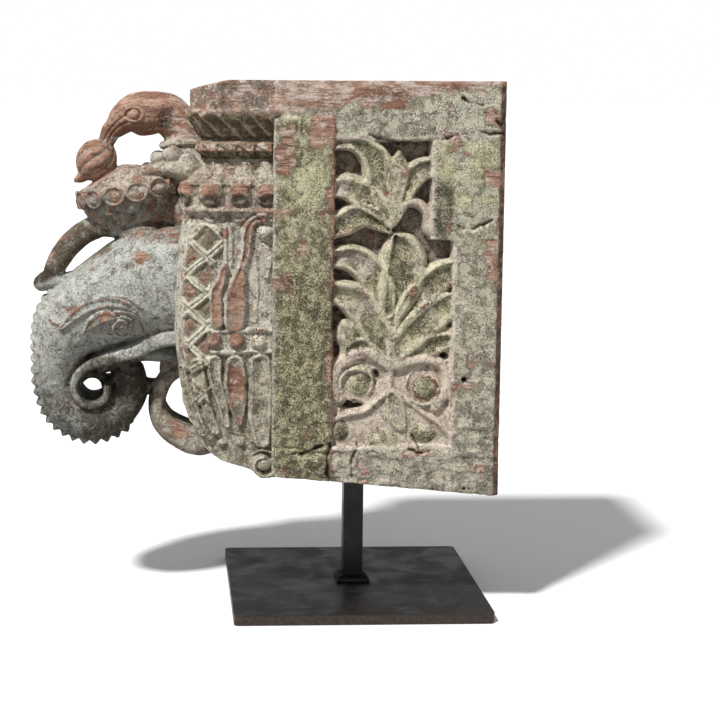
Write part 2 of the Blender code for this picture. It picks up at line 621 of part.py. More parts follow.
def make_stand(collection):
    """The plate, the bar and the fillet weld round the bar's foot."""
    steel = material_of("waxed_steel", (0.05, 0.045, 0.042), 0.5, 0.6)
    half = PLATE_SIDE / 2
    plate = box("base_plate", (-half, -half, 0), (half, half, PLATE_THICKNESS), steel, collection)
    shape = bmesh.new()
    shape.from_mesh(plate.data)
    upright = [e for e in shape.edges if abs(e.verts[0].co.z - e.verts[1].co.z) > PLATE_THICKNESS / 2]
    bmesh.ops.bevel(shape, geom=upright, offset=PLATE_CORNER, segments=4, profile=0.5, affect="EDGES")
    shape.to_mesh(plate.data)
    shape.free()

    foot = PLATE_THICKNESS + STEEL_GAP
    side = BAR_SIDE / 2
    bar_top = PLATE_THICKNESS + BAR_EXPOSED + SOCKET_DEPTH
    bar = box("upright_bar", (-side, -side, foot), (side, side, bar_top), steel, collection)
    ease = bar.modifiers.new("Ease", "BEVEL")
    ease.width = 1 * MM
    ease.segments = 1
    ease.limit_method = "ANGLE"

    inner, outer = side + STEEL_GAP, side + STEEL_GAP + WELD_LEG
    turn = np.linspace(0, 2 * math.pi, 24, endpoint=False)
    square = np.maximum(np.abs(np.cos(turn)), np.abs(np.sin(turn)))
    sides = np.stack([np.cos(turn), np.sin(turn)], axis=1) / square[:, None]
    rows = [
        (inner, foot),
        (outer, foot),
        (inner + WELD_LEG * 0.35, foot + WELD_LEG * 0.7),
        (inner, foot + WELD_LEG),
    ]
    outlines = [np.column_stack([sides * reach, np.full(len(sides), z)]) for reach, z in rows]
    points = np.vstack(outlines)
    count = len(turn)
    faces = []
    for r in range(4):
        low, high = r * count, (r + 1) % 4 * count
        for i in range(count):
            j = (i + 1) % count
            faces.append((low + i, low + j, high + j, high + i))
    joined("weld_bead", [(points, faces)], steel, collection)


def main():
    for obj in list(bpy.data.objects):
        bpy.data.objects.remove(obj)
    collection = bpy.data.collections.new("elephant_corbel")
    cutters = bpy.data.collections.new("cutters")
    bpy.context.scene.collection.children.link(collection)
    bpy.context.scene.collection.children.link(cutters)
    make_corbel(collection, cutters)
    make_stand(collection)


main()
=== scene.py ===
# %% [markdown]
# # An old elephant corbel on a steel stand
#
# The object is a bracket of carved teak that once carried a beam: a squared block with a leaf
# panel, a capital, a body under a net, and an elephant's head with a lotus and a bird above it.
# It now stands on a welded steel plate and bar. The imported CAD gives the main shapes. This script
# carves the same shapes again at a finer step, so that the net, the eyes and the leaves are real
# relief, and then lays old paint, bare wood, dirt, painted shade and painted highlights over them
# with nodes.

# %% Load the frame
import math
import time
from types import SimpleNamespace

import bmesh
import bpy
import numpy as np
from mathutils import Matrix, Vector
from mathutils.kdtree import KDTree


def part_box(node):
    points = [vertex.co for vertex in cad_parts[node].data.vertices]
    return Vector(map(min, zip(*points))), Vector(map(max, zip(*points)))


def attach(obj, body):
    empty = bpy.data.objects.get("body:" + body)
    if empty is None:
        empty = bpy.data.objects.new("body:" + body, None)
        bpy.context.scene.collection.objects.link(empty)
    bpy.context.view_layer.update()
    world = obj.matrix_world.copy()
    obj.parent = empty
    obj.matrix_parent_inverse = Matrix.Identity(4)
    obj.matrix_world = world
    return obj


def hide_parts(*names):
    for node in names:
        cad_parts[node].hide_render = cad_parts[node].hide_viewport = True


started = time.time()
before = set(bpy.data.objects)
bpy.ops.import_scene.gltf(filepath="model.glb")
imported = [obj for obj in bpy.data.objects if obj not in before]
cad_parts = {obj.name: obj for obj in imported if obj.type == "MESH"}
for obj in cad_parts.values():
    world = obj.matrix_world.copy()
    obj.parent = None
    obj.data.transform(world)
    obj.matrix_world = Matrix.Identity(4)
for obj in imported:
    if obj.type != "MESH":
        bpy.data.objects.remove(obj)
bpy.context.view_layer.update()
scene = bpy.context.scene
MM = 0.001
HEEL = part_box("corbel")[0].z / MM

# %% [markdown]
# ## Tools for carving
#
# A carver works down from a flat face, so the relief is written as heights over a face: each
# function takes places on the face and gives how far the wood stands up there. Lengths are in
# millimetres until a mesh is made. Old handwork is never quite straight, so the places are first
# nudged by smooth random values with a fixed seed.


# %% Noise, curves and relief
def value_noise(points, size, seed):
    """Smooth random values between -1 and 1, with lumps of a given size."""
    table = np.random.default_rng(seed).uniform(-1, 1, 4096)
    cell = np.asarray(points, float) / size
    base = np.floor(cell).astype(np.int64)
    t = cell - base
    t = t * t * (3 - 2 * t)
    total = np.zeros(len(cell))
    for corner in range(8):
        step = np.array([corner & 1, corner >> 1 & 1, corner >> 2 & 1])
        key = base + step
        index = (key[:, 0] * 73856093 ^ key[:, 1] * 19349663 ^ key[:, 2] * 83492791) & 4095
        total += table[index] * np.prod(np.where(step, t, 1 - t), axis=1)
    return total


def rough(points, size, seed, octaves=3):
    """Value noise in several sizes, the finer ones weaker."""
    return sum(value_noise(points, size / 2**i, seed + i) * 0.5**i for i in range(octaves)) / 1.5


def flat_noise(x, z, size, seed, octaves=2):
    """Noise over a face."""
    spots = np.column_stack([np.ravel(x), np.zeros(np.size(x)), np.ravel(z)])
    return rough(spots, size, seed, octaves).reshape(np.shape(x))


def smooth_curve(points, count):
    """A Catmull-Rom curve through rows of numbers, as count rows evenly spaced along its first two."""
    given = np.array(points, float)
    ends = np.vstack([2 * given[0] - given[1], given, 2 * given[-1] - given[-2]])
    pieces = []
    for a, b, c, d in zip(ends, ends[1:], ends[2:], ends[3:]):
        t = np.linspace(0, 1, 24, endpoint=False)[:, None]
        pieces.append(
            0.5 * (2 * b + (c - a) * t + (2 * a - 5 * b + 4 * c - d) * t**2 + (3 * b - a - 3 * c + d) * t**3)
        )
    dense = np.vstack([*pieces, given[-1:]])
    run = np.concatenate([[0], np.cumsum(np.hypot(*np.diff(dense[:, :2], axis=0).T))])
    at = np.linspace(0, run[-1], count)
    return np.stack([np.interp(at, run, column) for column in dense.T], axis=1)


def ramp(value, low, high):
    """0 below low, 1 above high, and smooth between."""
    t = np.clip((value - low) / (high - low), 0, 1)
    return t * t * (3 - 2 * t)


def bump(x, z, at, radii, lift):
    """A pillow of elliptical outline."""
    q = ((x - at[0]) / radii[0]) ** 2 + ((z - at[1]) / radii[1]) ** 2
    return lift * np.sqrt(np.clip(1 - q, 0, 1))


def along(x, z, spine):
    """Distance from a spine of (x, z, half width), as a share of that half width. 9 means far away."""
    line = smooth_curve(spine, max(16, 8 * len(spine)))
    pad = line[:, 2].max() * 1.2
    nearest = np.full(np.shape(x), 9.0)
    low, high = line.min(axis=0) - pad, line.max(axis=0) + pad
    close = (x > low[0]) & (x < high[0]) & (z > low[1]) & (z < high[1])
    if close.any():
        found = np.full(np.count_nonzero(close), 9.0)
        for px, pz, half in line:
            found = np.minimum(found, np.hypot(x[close] - px, z[close] - pz) / max(half, 0.5))
        nearest[close] = found
    return nearest


def depth_in(x, z, x0, x1, z0, z1):
    """How far a place lies inside a rectangle, below 0 outside it."""
    return np.minimum(np.minimum(x - x0, x1 - x), np.minimum(z - z0, z1 - z))


def spooned(nearest, lift, hollow, rim=0.6):
    """The height of a carved leaf at shares of its half width: a rounded rim, and a spoon inside it."""
    spoon = 1 - hollow * np.clip(1 - (nearest / rim) ** 2, 0, 1) ** 0.6
    return lift * spoon * np.sqrt(np.clip(1 - np.clip((nearest - rim) / (1 - rim), 0, None) ** 2, 0, 1))


def blade(x, z, spine, lift, hollow, rim=0.6):
    """A carved leaf along a spine."""
    return spooned(along(x, z, spine), lift, hollow, rim)


def ridge(x, z, points, half, lift):
    """A raised line through points."""
    nearest = along(x, z, [(*p, half) for p in points])
    return lift * np.sqrt(np.clip(1 - nearest**2, 0, 1))


def spiral(x, z, at, radius, lift, turn, coils, button):
    """A curled leaf end: a round button inside a spiral band."""
    dx, dz = x - at[0], z - at[1]
    r = np.hypot(dx, dz) / radius
    angle = (turn * np.arctan2(dz, dx) / (2 * math.pi)) % 1
    band = 0.5 + 0.5 * np.cos(2 * math.pi * (r * coils - angle))
    inner = np.sqrt(np.clip(1 - (r / (button * 1.2)) ** 2, 0, 1))
    ring = np.where(r < button, inner, band)
    return np.where(r < 1, lift * (0.2 + 0.8 * ring), 0)


def zigzag(run, pitch):
    """A triangle wave from 0 to 1."""
    return np.abs(2 * ((run / pitch) % 1) - 1)


# %% [markdown]
# ## The block and its leaf panel
#
# The block's side is a frame of two stiles and two rails round a sunk panel. In the panel one
# palmette stands on another, with a pair of curled ends between them. Each leaf is a spine with
# a width: its rim is left high and its middle is scooped out, which is how such leaves catch the
# light. A raised post stands in front, and a thin plank shows under it.

# %% Relief of the block's side
WALL_X, POST_FRONT_X, POST_BACK_X = 131, -89, -31
BLOCK_HEIGHT, BLOCK_WIDTH, UNDERSIDE_RISE, FRAME_SET_BACK = 397, 200, 21, 2.5
PANEL_BACK_X, SHOULDER_X, SHOULDER_Z = 82, 60, 248
PANEL_FOOT_Z, PANEL_HEAD_Z, PANEL_DEPTH = 50, 341, 18
PANEL_MIDDLE_X = (POST_BACK_X + PANEL_BACK_X) / 2

# each leaf: its height, how hollow it is, and its spine of (x, z, half width) in the panel
LEAVES = (
    (16.5, 0.34, (
        (-5, 214, 5), (-9, 236, 12), (-13, 256, 16), (-17, 272, 15), (-28, 284, 11), (-41, 289, 9),
        (-55, 288, 7),
    )),
    (17.0, 0.12, ((-1, 214, 4), (1, 240, 9), (4, 262, 11), (5, 280, 3))),
    (17.0, 0.32, ((0, 214, 5), (4, 232, 11), (11, 248, 13), (23, 262, 12), (38, 268, 9))),
    (17.0, 0.32, ((-4, 213, 5), (-14, 228, 11), (-28, 240, 15), (-43, 247, 13), (-57, 247, 9))),
    (16.0, 0.30, (
        (-5, 206, 4), (-13, 214, 9), (-24, 221, 12), (-37, 220, 14), (-49, 213, 13), (-57, 207, 9),
    )),
    (17.0, 0.42, ((-1, 112, 5), (1, 132, 14), (6, 152, 22), (10, 172, 25), (9, 186, 19), (2, 200, 4))),
    (16.0, 0.32, ((6, 112, 6), (14, 129, 13), (27, 146, 16), (43, 161, 16), (57, 170, 11))),
    (17.0, 0.26, ((2, 86, 7), (14, 103, 15), (31, 120, 18), (48, 134, 15), (58, 141, 8))),
    (15.5, 0.30, ((5, 77, 6), (22, 89, 12), (40, 98, 12), (56, 103, 9))),
    (16.0, 0.32, ((-3, 128, 7), (-11, 151, 15), (-23, 169, 16), (-38, 180, 14), (-56, 181, 10))),
    (17.0, 0.34, ((-2, 86, 7), (-12, 104, 15), (-24, 126, 18), (-40, 143, 16), (-56, 150, 11))),
    (15.5, 0.25, ((-5, 78, 5), (-18, 90, 9), (-30, 96, 10), (-40, 92, 7))),
    (14.5, 0.15, ((-1, 50, 4), (3, 41, 10), (6, 30, 11), (10, 20, 7))),
)
# domes: middle, radii, height. Bands: half width, height, line. Gaps in the raised ground: middle, radii
DOMES = (
    ((-8, 5), (22, 14), 15), ((31, 11), (19, 13), 15), ((-41, 106), (14, 17), 16.5),
    ((-49, 15), (13, 14), 15), ((-19, 39), (7, 9), 14),
)
BANDS = (
    (8.5, 16.5, ((-4, 78), (-16, 87), (-33, 88), (-50, 76), (-56, 58), (-50, 46))),
    (7.5, 16.5, ((-2, 76), (10, 80), (28, 83), (46, 80), (53, 66), (52, 50), (42, 38))),
    (5.5, 16.0, ((-3, 212), (3, 225), (12, 232), (22, 232), (31, 224), (34, 206))),
    (6.0, 14.5, ((-3, 124), (-3, 104), (-1, 84), (-1, 56))),
    (4.5, 14.5, ((-1, 53), (-14, 44), (-27, 34), (-42, 31), (-57, 25))),
    (4.5, 14.5, ((1, 53), (16, 43), (31, 32), (45, 22), (57, 8))),
)
GAPS = (
    ((-40, 41), (13, 4.5)), ((-56, 92), (6, 26)), ((45, 87), (10, 4.5)), ((-50, 124), (8, 9)),
    ((-17, 66), (5, 7)),
)
CRACKS = (
    ((1, 346), (19, 341), (47, 339), (70, 343), (84, 346), (100, 349), (128, 347)),
    ((87, 381), (100, 376), (116, 370), (125, 354)),
    ((86, 262), (100, 258), (118, 266)),
    ((42, 46), (56, 43), (70, 46)),
    ((-13, 20), (-11, 41), (-6, 50)),
    ((-88, 48), (-77, 42), (-61, 44), (-40, 51)),
    ((-34, 53), (-35, 34), (-34, 14)),
    ((48, 62), (50, 54), (54, 47)),
)
GRAIN_LINES = (
    ((-87, 42), (-60, 33), (-34, 23)),
    ((-72, 49), (-52, 42), (-34, 35)),
    ((-85, 32), (-60, 25), (-34, 17)),
    ((-67.5, 361), (-67, 330), (-68, 302)),
    ((-63.5, 361), (-63, 330), (-64, 306)),
)


def panel_leaves(x, z):
    """The palmettes as height above the panel's floor, and a share: how far out on its leaf a place is.

    x runs from the panel's middle and z from its foot. The share is 9 where no leaf or dome is on top.
    """
    height = 10.5 * ramp(116 + 5 * flat_noise(x, z, 18, 23) - z, -2, 3)
    for at, radii in GAPS:
        height *= 1 - ramp(np.hypot((x - at[0]) / radii[0], (z - at[1]) / radii[1]), 1.15, 0.85)
    share = np.full(x.shape, 9.0)
    layers = []
    for lift, hollow, spine in LEAVES:
        nearest = along(x, z, spine)
        layers.append((spooned(nearest, lift, hollow), nearest))
    for at, radii, lift in DOMES:
        nearest = np.hypot((x - at[0]) / radii[0], (z - at[1]) / radii[1])
        layers.append((bump(x, z, at, radii, lift), 0.72 * nearest))
    for half, lift, line in BANDS:
        layers.append((ridge(x, z, line, half, lift), np.full(x.shape, 9.0)))
    for at, turn, radius in (((-31, 60), 1, 18), ((32, 56), -1, 19)):
        nearest = np.hypot(x - at[0], z - at[1]) / radius
        layers.append((spiral(x, z, at, radius, 15.5, turn, coils=1.5, button=0.66), nearest))
    for rise, nearest in layers:
        share = np.where(rise > height, nearest, share)
        height = np.maximum(height, rise)
    return height, share


def split(x, z, lines, half):
    """How deep a place lies in a jagged crack, from 0 beside it to 1. The crack opens and closes."""
    bent_x, bent_z = x + 2.4 * flat_noise(x, z, 8, 17), z + 2.0 * flat_noise(x, z, 6, 19)
    width = half * np.clip(0.75 + 0.9 * flat_noise(x, z, 13, 29), 0.1, 1.5)
    deep = np.zeros(x.shape)
    for line in lines:
        away = along(bent_x, bent_z, [(*p, 2.5) for p in line]) * 2.5
        deep = np.maximum(deep, ramp(away, width, 0.35 * width))
    return deep


def block_side(x, z):
    """Half width of the block at a point of its side."""
    wx = x + 1.2 * flat_noise(x, z, 16, 11)
    wz = z + 1.8 * flat_noise(x, z, 24, 15)
    half = np.full(x.shape, BLOCK_WIDTH / 2 - FRAME_SET_BACK)
    on_post = ramp(wx, POST_BACK_X + 1, POST_BACK_X - 1.5) * ramp(wz, 365, 361)
    half += FRAME_SET_BACK * on_post
    right = np.where(wz > SHOULDER_Z, SHOULDER_X, PANEL_BACK_X)
    sunk = ramp(depth_in(wx, wz, POST_BACK_X, right, PANEL_FOOT_Z, PANEL_HEAD_Z), -0.7, 1.6)
    floor = BLOCK_WIDTH / 2 - PANEL_DEPTH + 1.2 * flat_noise(x, z, 20, 21)
    carved = floor + panel_leaves(wx - PANEL_MIDDLE_X, wz - PANEL_FOOT_Z)[0]
    half = half * (1 - sunk) + np.minimum(carved, half - 0.3) * sunk
    half += bump(x, z, (98, 306), (13, 17), 1.6) + bump(x, z, (108, 330), (14, 8), 1.2)
    plank = ramp(wx, POST_BACK_X, POST_BACK_X - 3) * ramp(np.abs(wz - 46 + (x + 60) * 0.12), 2.2, 0)
    half -= 2.5 * plank
    low_down = ramp(z + 12 * flat_noise(x, z, 26, 27), 100, 60)
    flaked = ramp(flat_noise(x * 0.35, z, 7, 25), 0.05, 0.2) * low_down
    half -= 1.3 * flaked * (1 - sunk)
    half -= 5 * split(x, z, CRACKS, 1.9) + 2.2 * split(x, z, GRAIN_LINES, 1.5)
    for at, radius, depth in (((95, 114), 2.6, 9), ((97, 8), 1.6, 3)):
        half -= bump(x, z, at, (radius, radius), depth)
    return half - np.clip(x - (WALL_X - 6), 0, 6)


# %% [markdown]
# ## The capital and the body
#
# In front of the post the timber turns a rounded corner. Its carving is unrolled on a face: one
# direction runs forward from the post and round the corner, the other goes up. From the top come
# a slab with hanging leaf tips, a ring, a flare of folds, a row of drops and a scalloped fringe.
# Below hangs a net of cords, with tassels, a belt of beads and a skirt of long petals.

# %% Relief of the capital and the body
CAPITAL = (
    (397, 97.5, -163), (365, 97.5, -163), (341, 80, -151), (339, 84, -155), (331, 88, -158), (323, 78, -151),
    (312, 79, -153), (299, 89, -171), (297, 87, -170), (279, 87, -171), (275, 90, -171), (268, 85, -170),
)
BODY_HALF_WIDTH, CORNER_RADIUS = 86, 27
BODY_FRONT = ((262, -173), (225, -181), (188, -184), (140, -180), (92, -172), (62, -162), (30, -152))
BELLY = ((0, 17), (12, 17), (20, 24), (55, 34), (72, 49), (80, 58))
TOP_FALL = ((25, 4), (41, 0), (60, -5), (74, -9))
PROFILE = np.array(sorted([(h, BODY_HALF_WIDTH, f) for h, f in BODY_FRONT] + list(CAPITAL)), float)
START = POST_FRONT_X - 0.4

RIBBON = ((9, 268), (17, 266), (22.5, 256), (24, 239), (27, 224), (33, 209), (41, 190))
TASSELS = (
    ((27.5, 224, 2), (31, 208, 7), (34, 193, 10), (34, 187, 11), (35, 168, 10)),
    ((44, 224, 2), (48.5, 208, 4), (52.5, 195, 6), (52, 168, 6)),
)
BEADS = (((53.5, 151.5), (7.5, 9.6)), ((32.3, 151), (8.8, 9)), ((12, 149), (8, 7)))
PETALS = (
    ((34, 128, 9), (34, 112, 11), (32, 91, 9), (30, 72, 3)),
    ((53.5, 130, 7), (52.5, 112, 6), (46.5, 91, 5), (42, 70, 3)),
    ((10, 128, 11), (9, 102, 12), (10, 75, 12), (8, 55, 8)),
    ((70, 128, 6), (66, 104, 6), (59, 82, 5), (52, 64, 4)),
    ((84, 122, 5), (79, 98, 6), (71, 76, 6), (62, 62, 4)),
)
KNOBS = (((57, 56), 5), ((46, 52), 4.5), ((28.5, 53), 4))


def drop_places(a):
    """Places across the row of drops, 0 in the middle of each."""
    return (a + 9.5) % 27 - 13.5


def net_lines(a, z):
    """0 in the middle of a mesh of the net and 0.5 on its cords."""
    p, q = (a - 61.5 + 3 * flat_noise(a, z, 24, 37)) / 36, (z - 246.6 + 3 * flat_noise(a, z, 20, 39)) / 33
    return np.maximum(np.abs((p + q + 0.5) % 1 - 0.5), np.abs((p - q + 0.5) % 1 - 0.5))


def net_region(a, z, corner):
    """Where the net lies."""
    right = 58 - 12 * ramp(z, 220, 232)
    lying = ramp(a, right - 1, right + 1) * ramp(a, corner + 18, corner + 16)
    return lying * ramp(z, 264, 260) * ramp(z, 84, 92)


def capital_relief(a, z, corner):
    """The slab, ring, flare, drops and fringe."""
    around = ramp(a, corner - 12, corner + 4)
    out = 1.8 * np.abs(np.sin(math.pi * a / 9)) * ramp(z, 366, 369) * around
    leaned = (a - 0.95 * (z - 341)) / 15
    out += (1.2 + 3.6 * (leaned % 1) ** 1.5) * ramp(z, 342, 345) * ramp(z, 369, 362)
    out += 3.4 * ramp(z - (357 + 9 * zigzag(a + 5, 26)), -0.8, 0.8) * ramp(z, 371, 368)
    jagged = 326 + 11 * ((a / 17) % 1)
    out += 3.8 * ramp(z - jagged, -0.8, 0.8) * ramp(z, 341.5, 339)
    lobes = np.abs(np.sin(math.pi * (a + 7) / 22))
    folds = 0.9 * np.cos(2 * math.pi * a / (5.5 + 1.5 * lobes)) * around
    out += (4.5 * lobes**0.7 + folds) * ramp(z, 299, 305) * ramp(z, 324, 318)
    at = drop_places(a) * (0.9 + 0.35 * ((np.floor((a + 9.5) / 27) * 0.618) % 1))
    out += bump(at * (1 + 0.012 * (289 - z)), z, (0, 290), (12, 11), 8)
    out -= 3 * ramp(np.hypot(at / 8, (z - 286) / 5) + 0.3 * flat_noise(a, z, 6, 33), 1.0, 0.6)
    out += ridge(a, z, [(k, 300) for k in (-4, 120)], 1.6, 1.5)
    fringe = 268 - 5 * np.cos(2 * math.pi * (a - 4) / 27)
    out += 3.4 * ramp(z, fringe - 1.2, fringe + 1.2) * ramp(z, 278, 275)
    out -= 1.6 * ramp(np.abs(z - fringe - 3.6), 1.3, 0) * ramp(z, 278, 275)
    return out


def body_relief(a, z, corner):
    """The net, ribbon, tassels, belt and skirt."""
    lines = net_lines(a, z)
    netted = net_region(a, z, corner)
    cords = ramp(lines, 0.33, 0.40) - 0.55 * ramp(lines, 0.445, 0.485)
    below = ramp(z, 264, 260)
    out = (3.6 * cords + 1.6 * ramp(lines, 0.26, 0.05)) * netted
    for at in (corner + 19.5, corner + 25):
        out += 2.6 * ramp(np.abs(a - at), 2.4, 0.8) * below * ramp(z, 55, 60)
    for rib in (38, 43.5):
        out += 2.4 * ramp(np.abs(a - rib), 2.4, 0.8) * below * ramp(z, 219, 224)
    raised = ridge(a, z, RIBBON, 5.2, 6) - ridge(a, z, RIBBON, 2.2, 3)
    raised = np.maximum(raised, bump(a, z, (7, 254), (8, 8), 7))
    raised = np.maximum(raised, blade(a, z, ((8, 241, 3), (5, 232, 6), (5, 214, 4)), 4, 0.3))
    raised = np.maximum(raised, ridge(a, z, ((15, 232), (13, 205), (14, 170)), 1.4, 2))
    for spine in TASSELS:
        raised = np.maximum(raised, blade(a, z, spine, 6.5, 0.3, 0.7))
    for spine in PETALS:
        raised = np.maximum(raised, blade(a, z, spine, 6.0, 0.5, 0.68))
    belt = ramp(np.abs(z - 150 - 1.2 * np.sin(a / 9)), 13.5, 11) * ramp(a, 63, 60)
    trough = ramp(np.abs(z - 150), 9.5, 7.5) * ramp(a, 60, 58)
    raised = np.maximum(raised, 5 * belt - 2.2 * trough)
    for at, radii in BEADS:
        raised = np.maximum(raised, bump(a, z, at, radii, 9.5))
    for at, radius in KNOBS:
        raised = np.maximum(raised, bump(a, z, at, (radius, radius), 5))
    raised = np.maximum(raised, spiral(a, z, (6.5, 32), 14, 11, -1, coils=1.6, button=0.45))
    return out + raised


def front_columns(step):
    """The columns in front of the post: share along the side, angle round the corner, share across."""
    side = np.linspace(0, 1, int(68 / step))
    arc = np.linspace(0, math.pi / 2, int(1.5 * CORNER_RADIUS / step))[1:]
    face = np.linspace(0, 1, int(60 / (1.6 * step)))[1:]
    corner, across = len(arc), len(face)
    shares = np.concatenate([side, np.ones(corner + across)])
    angles = np.concatenate([np.zeros(len(side)), arc, np.full(across, math.pi / 2)])
    return shares, angles, np.concatenate([np.zeros(len(side) + corner), face])


def turning(z):
    """At a height, where the side starts to turn, and the half width of the flat front."""
    reach = np.interp(z, PROFILE[:, 0], PROFILE[:, 2])
    half = np.interp(z, PROFILE[:, 0], PROFILE[:, 1])
    return reach + CORNER_RADIUS, half - CORNER_RADIUS


def front_place(z, columns):
    """Where each column stands at a height: x, half width, run round, and where the run turns."""
    shares, angles, spans = columns
    turn, flat = turning(z)
    x = START + shares * (turn - START) - np.sin(angles) * CORNER_RADIUS
    y = flat * (1 - spans) + CORNER_RADIUS * np.cos(angles)
    run = shares * (START - turn) + angles * CORNER_RADIUS + spans * flat
    return x, y, run, START - turn


def unrolled(x, y, z):
    """The run round the body at points of its surface, and where it turns, as front_place has them."""
    turn, flat = turning(z)
    angle = np.arctan2(np.maximum(turn - x, 0), np.maximum(np.abs(y) - flat, 0) + 1e-9)
    across = np.maximum(flat - np.abs(y), 0)
    run = np.where(x > turn, START - x, START - turn + angle * CORNER_RADIUS + across)
    return run, START - turn


def block_column(step):
    """The squared block: outlines stacked from the underside to the top."""
    x = np.append(np.arange(WALL_X, START + 0.8, -step), START + 0.8)
    t = np.linspace(0, 1, int(BLOCK_HEIGHT / step))[:, None]
    under = (WALL_X - x) / (WALL_X - POST_FRONT_X) * UNDERSIDE_RISE
    z = under + t * (BLOCK_HEIGHT - under)
    x = np.broadcast_to(x, z.shape)
    near = np.stack([x, -block_side(x, z), z], axis=2)
    return loft(np.concatenate([near, near[:, ::-1] * (1, -1, 1)], axis=1), mirrored=True)


def front_column(step):
    """The capital and the body, which reach back a little into the block."""
    belly, fall = np.array(BELLY), np.array(TOP_FALL)
    columns = front_columns(step)
    angles = columns[1]
    foot = front_place(np.full(len(angles), belly[-1, 1]), columns)[0]
    low = np.interp(START - foot, belly[:, 0], belly[:, 1])
    top = front_place(np.full(len(angles), BLOCK_HEIGHT), columns)[0]
    high = BLOCK_HEIGHT + np.interp(START - top, fall[:, 0], fall[:, 1])
    z = low + np.linspace(0, 1, int(BLOCK_HEIGHT / step))[:, None] * (high - low)
    place = [front_place(row, columns) for row in z]
    x, y, run = (np.array([p[i] for p in place]) for i in range(3))
    corner = np.broadcast_to(np.array([p[3] for p in place]), run.shape)
    wrun = run + 0.8 * flat_noise(run, z, 13, 31)
    wz = z + 0.8 * flat_noise(run, z, 15, 35)
    out = capital_relief(wrun, wz, corner) + body_relief(wrun, wz, corner)
    near = np.stack([x - np.sin(angles) * out, -y - np.cos(angles) * out, z], axis=2)
    back = np.stack([np.full(len(z), START + 9), np.minimum(near[:, 0, 1] + 5, -60), z[:, 0]], axis=1)
    near = np.concatenate([back[:, None], near], axis=1)
    return loft(np.concatenate([near, near[:, -2::-1] * (1, -1, 1)], axis=1), mirrored=True)


def loft(outlines, mirrored=False):
    """Points and faces of a solid through closed outlines of equal length.

    The two ends of a mirrored one are closed in strips.
    """
    outlines = np.asarray(outlines)
    levels, count = outlines.shape[:2]
    start = (np.arange(levels - 1)[:, None] * count + np.arange(count)).ravel()
    after = (np.arange(levels - 1)[:, None] * count + (np.arange(count) + 1) % count).ravel()
    faces = np.stack([start, after, after + count, start + count], axis=1).tolist()
    points = outlines.reshape(-1, 3)
    first, last = list(range(count)), list(range(len(points) - count, len(points)))
    if not mirrored:
        return points, [*faces, first[::-1], last]
    for i in range((count - 1) // 2):
        j = count - 1 - i
        faces.append(list(dict.fromkeys((first[i], first[j], first[j - 1], first[i + 1]))))
        faces.append(list(dict.fromkeys((last[i], last[i + 1], last[j - 1], last[j]))))
    return points, faces


# %% [markdown]
# ## The elephant, the lotus and the bird
#
# Each limb is a sweep: an oval that runs along a curved path and changes its size on the way.
# The head and the ridged trunk are one sweep that rolls up on itself. The eye with its lids, the
# leaf before it and the leaf on the brow are drawn on the sides of the head as low relief.

# %% Limbs and low relief of the head
CROWN = (-227, 177)
EYE = (-4.5, -16)
LOWER_LID = (
    (-41, -22), (-33, -18), (-25, -18), (-19, -22), (-11, -25.5), (-1, -28), (9, -24), (17, -22.5),
    (26, -25), (36, -26.5),
)
UPPER_LID = ((-64, -19, 2), (-50, -5.5, 5), (-34, 5, 6), (-18, 8.5, 5), (-2, 6.5, 4), (9, 0, 2))
FOREHEAD = (
    (-77, -4), (-75, -11), (-68, -15), (-60, -11.5), (-48, -1), (-34, 10), (-18, 14), (1, 12), (14, 3),
)
EYE_LEAF = ((-39, -19, 2), (-30, -10, 6), (-20, -5, 6), (-13, -6, 3))
OUTER_LID = ((-12, -2), (-2, -1), (8, -4), (14, -12), (16, -21))
BROW_LEAF = (
    (-42, 27), (-40, 34), (-33, 40), (-22, 43), (-12, 45), (-16, 35), (-25, 29), (-35, 26), (-42, 27),
)
LIP_LINE = ((36, -26.5), (17, -29), (-2, -31), (-18, -35), (-32, -40.5), (-45, -50), (-53, -61), (-56, -75))
FRUIT_LOBES = 9
LOTUS_PETALS, LOTUS_LEAN, FIRST_PETAL = 14, 10.5, -105.4


def face_relief(x, z):
    """The eye, its lids, the leaf before it and the leaf on the brow. x and z from the crown."""
    marks = blade(x, z, UPPER_LID, 3.4, 0.6)
    marks = np.maximum(marks, blade(x, z, EYE_LEAF, 4.0, 0.45))
    marks = np.maximum(marks, spiral(x, z, EYE, 11.5, 5.0, 1, coils=2.2, button=0.3))
    for line, half, lift in (
        (LOWER_LID, 1.8, 2.6), (FOREHEAD, 1.8, 2.4), (OUTER_LID, 1.9, 3.0), (BROW_LEAF, 1.4, 1.8),
        (LIP_LINE, 1.8, 2.2),
    ):
        marks = np.maximum(marks, ridge(x, z, line, half, lift))
    return marks


def beak_relief(x, z):
    """The bird's eye, brow and the grooves of its beak, from the timber's own origin."""
    ball_share = np.hypot((x + 220.6) / 5.2, (z - 363.6) / 4.6)
    lid_share = np.hypot((x + 221) / 9.5, (z - 363.6) / 6.8)
    eye = 2.6 * np.sqrt(np.clip(1 - ball_share**2, 0, 1)) - 1.4 * ramp(np.abs(lid_share - 0.72), 0.16, 0.04)
    eye += 1.6 * ramp(np.abs(lid_share - 1.0), 0.2, 0.02)
    lines = ridge(x, z, ((-238, 366), (-230, 371), (-219, 374), (-207, 372)), 1.5, 1.4)
    for line, half, cut in (
        (((-229, 362), (-237, 356), (-245, 347), (-250, 337)), 1.3, 1.9),
        (((-227, 356), (-236, 351), (-243, 343), (-246, 335)), 1.3, 1.9),
        (((-198, 349), (-205, 345), (-214, 346)), 1.1, 1.0),
        (((-196, 376), (-204, 378), (-213, 377)), 1.1, 1.0),
    ):
        lines = lines - ridge(x, z, line, half, cut)
    return eye + lines


